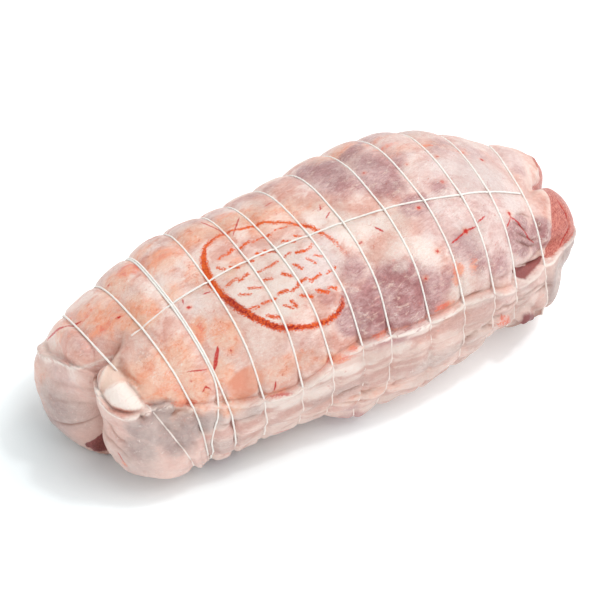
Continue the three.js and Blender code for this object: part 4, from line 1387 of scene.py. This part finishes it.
    # painted shade, brown-tinted, multiplied into creases, deep pits and the cleft between the left lobes
    cover("paintedCreaseShade", mask("paintedFoldShade"), share["paintedFoldShade"], kind="MULTIPLY")
    rough = newNode("MapRange")
    plugAll(rough, {"Value": patchy, "To Min": 0.22, "To Max": 0.5})
    height = scaled(thready, 0.2, scaled(speck, 0.6, patchy))
    normal = addBump(height, meatBump)
    plugAll(shader, {
        "Base Color": color,
        "Roughness": rough.outputs["Result"],
        "Normal": normal,
        "Coat Normal": normal,
    })
    plugAll(shader, meatShine)
    return material


cottonLook = {
    "fibre": 0.35,
    "dark": (0.86, 0.83, 0.77),
    "light": (0.96, 0.95, 0.92),
    "stain": (0.80, 0.62, 0.50),
    "stainShare": 0.28,
    "soaked": (0.86, 0.74, 0.68),
    "soakedShare": 0.85,
    "roughness": 0.7,
}
cottonBump = {"Strength": 0.4, "Distance": 0.0001}


def cottonString():
    material, shader = newMaterial("cotton_string")
    fibre = grain(cottonLook["fibre"], 2, 0.6)
    color = layer(between(fibre, 0.3, 0.7), cottonLook["dark"], cottonLook["light"])
    stain = times(between(grain(9, 3, 0.6), 0.56, 0.72), cottonLook["stainShare"])
    color = layer(stain, color, cottonLook["stain"])
    color = layer(times(mask("soaked"), cottonLook["soakedShare"]), color, cottonLook["soaked"])
    plugAll(shader, {
        "Base Color": color,
        "Roughness": cottonLook["roughness"],
        "Normal": addBump(fibre, cottonBump),
    })
    return material


meat.data.materials.append(lambMeat())
stringMaterial = cottonString()
for piece in strings + [longString]:
    piece.data.materials.append(stringMaterial)

# camera; angles in degrees, lengths in metres
view = {
    "azimuth": -29.8,
    "elevation": 46.0,
    "distance": 1.2,
    "target": (-0.0095, 0.00146, 0.050),
    "lens": 141.48,
    "sensor": 36,
}


# rotation of a camera or light that looks along a direction
def facing(direction):
    return direction.to_track_quat("-Z", "Y").to_euler()


def addCamera():
    a, e = view["azimuth"] * degree, view["elevation"] * degree
    away = Vector((math.sin(a) * math.cos(e), -math.cos(a) * math.cos(e), math.sin(e)))
    lens = bpy.data.cameras.new("camera")
    lens.lens = view["lens"]
    lens.sensor_width = view["sensor"]
    camera = addObject("camera", lens)
    camera.location = Vector(view["target"]) + away * view["distance"]
    camera.rotation_euler = facing(-away)
    bpy.context.scene.camera = camera


# a pale floor, painted bluer near the meat to cancel the pink light the meat throws onto it, with a soft
# painted glow that fades towards the meat and from left to right
floorLook = {
    "halfSize": 6.0,
    "middle": (-0.06, 0.015, 0),
    "reach": (0.13, 0.075, 1),
    "near": (0.865, 0.94, 0.96),
    "far": (0.935, 0.94, 0.945),
    "glow": 0.22,
    "glowLeft": 0.27,
}


def addFloor():
    size = floorLook["halfSize"]
    corners = [(-size, -size, 0), (size, -size, 0), (size, size, 0), (-size, size, 0)]
    mesh = bpy.data.meshes.new("pale_floor")
    mesh.from_pydata(corners, [], [(0, 1, 2, 3)])
    floor = addObject("pale_floor", mesh)
    material, shader = newMaterial("pale_floor_paint")
    place = newNode("Mapping")
    place.vector_type = "TEXTURE"
    plugAll(place, {
        "Location": floorLook["middle"],
        "Scale": floorLook["reach"],
        "Vector": newNode("TexCoord").outputs["Object"],
    })
    length = newNode("VectorMath")
    length.operation = "LENGTH"
    plug(place.outputs["Vector"], length.inputs[0])
    away = length.outputs["Value"]
    sides = newNode("SeparateXYZ")
    plug(place.outputs["Vector"], sides.inputs[0])
    glow = scaled(between(sides.outputs["X"], 1.4, -0.3), floorLook["glowLeft"], floorLook["glow"])
    plugAll(shader, {
        # bluer near the meat against its pink bounced light, and a painted glow that brightens the floor
        # away from the meat so its shadow fades quickly
        "Base Color": layer(between(away, 2.2, 1.0), floorLook["far"], floorLook["near"]),
        "Emission Color": (1, 1, 1),
        "Emission Strength": times(between(away, 0.55, 1.35), glow),
        "Roughness": 0.9,
        "Specular IOR Level": 0.1,
    })
    mesh.materials.append(material)


lighting = {
    "room": 0.68,
    "aim": (0, 0, 0.05),
    # name, place, size, power
    "lights": [("key_light", (0.9, 0.1, 1.25), 0.6, 4.2), ("glint_light", (0.40, -0.35, 1.25), 0.12, 2.8),
               ("front_light", (0.3, -0.74, 1.75), 1.2, 8.3)],
}


def areaLight(name, at, size, power):
    data = bpy.data.lights.new(name, "AREA")
    data.shape = "DISK"
    data.size = size
    data.energy = power
    light = addObject(name, data)
    light.location = at
    light.rotation_euler = facing(Vector(lighting["aim"]) - Vector(at))


def addLight():
    scene = bpy.context.scene
    scene.view_settings.view_transform = "Standard"
    world = bpy.data.worlds.new("soft_room")
    world.use_nodes = True
    background = world.node_tree.nodes["Background"]
    background.inputs["Color"].default_value = (1, 1, 1, 1)
    background.inputs["Strength"].default_value = lighting["room"]
    scene.world = world
    for name, at, size, power in lighting["lights"]:
        areaLight(name, at, size, power)


addCamera()
addFloor()
addLight()
print("stage set")
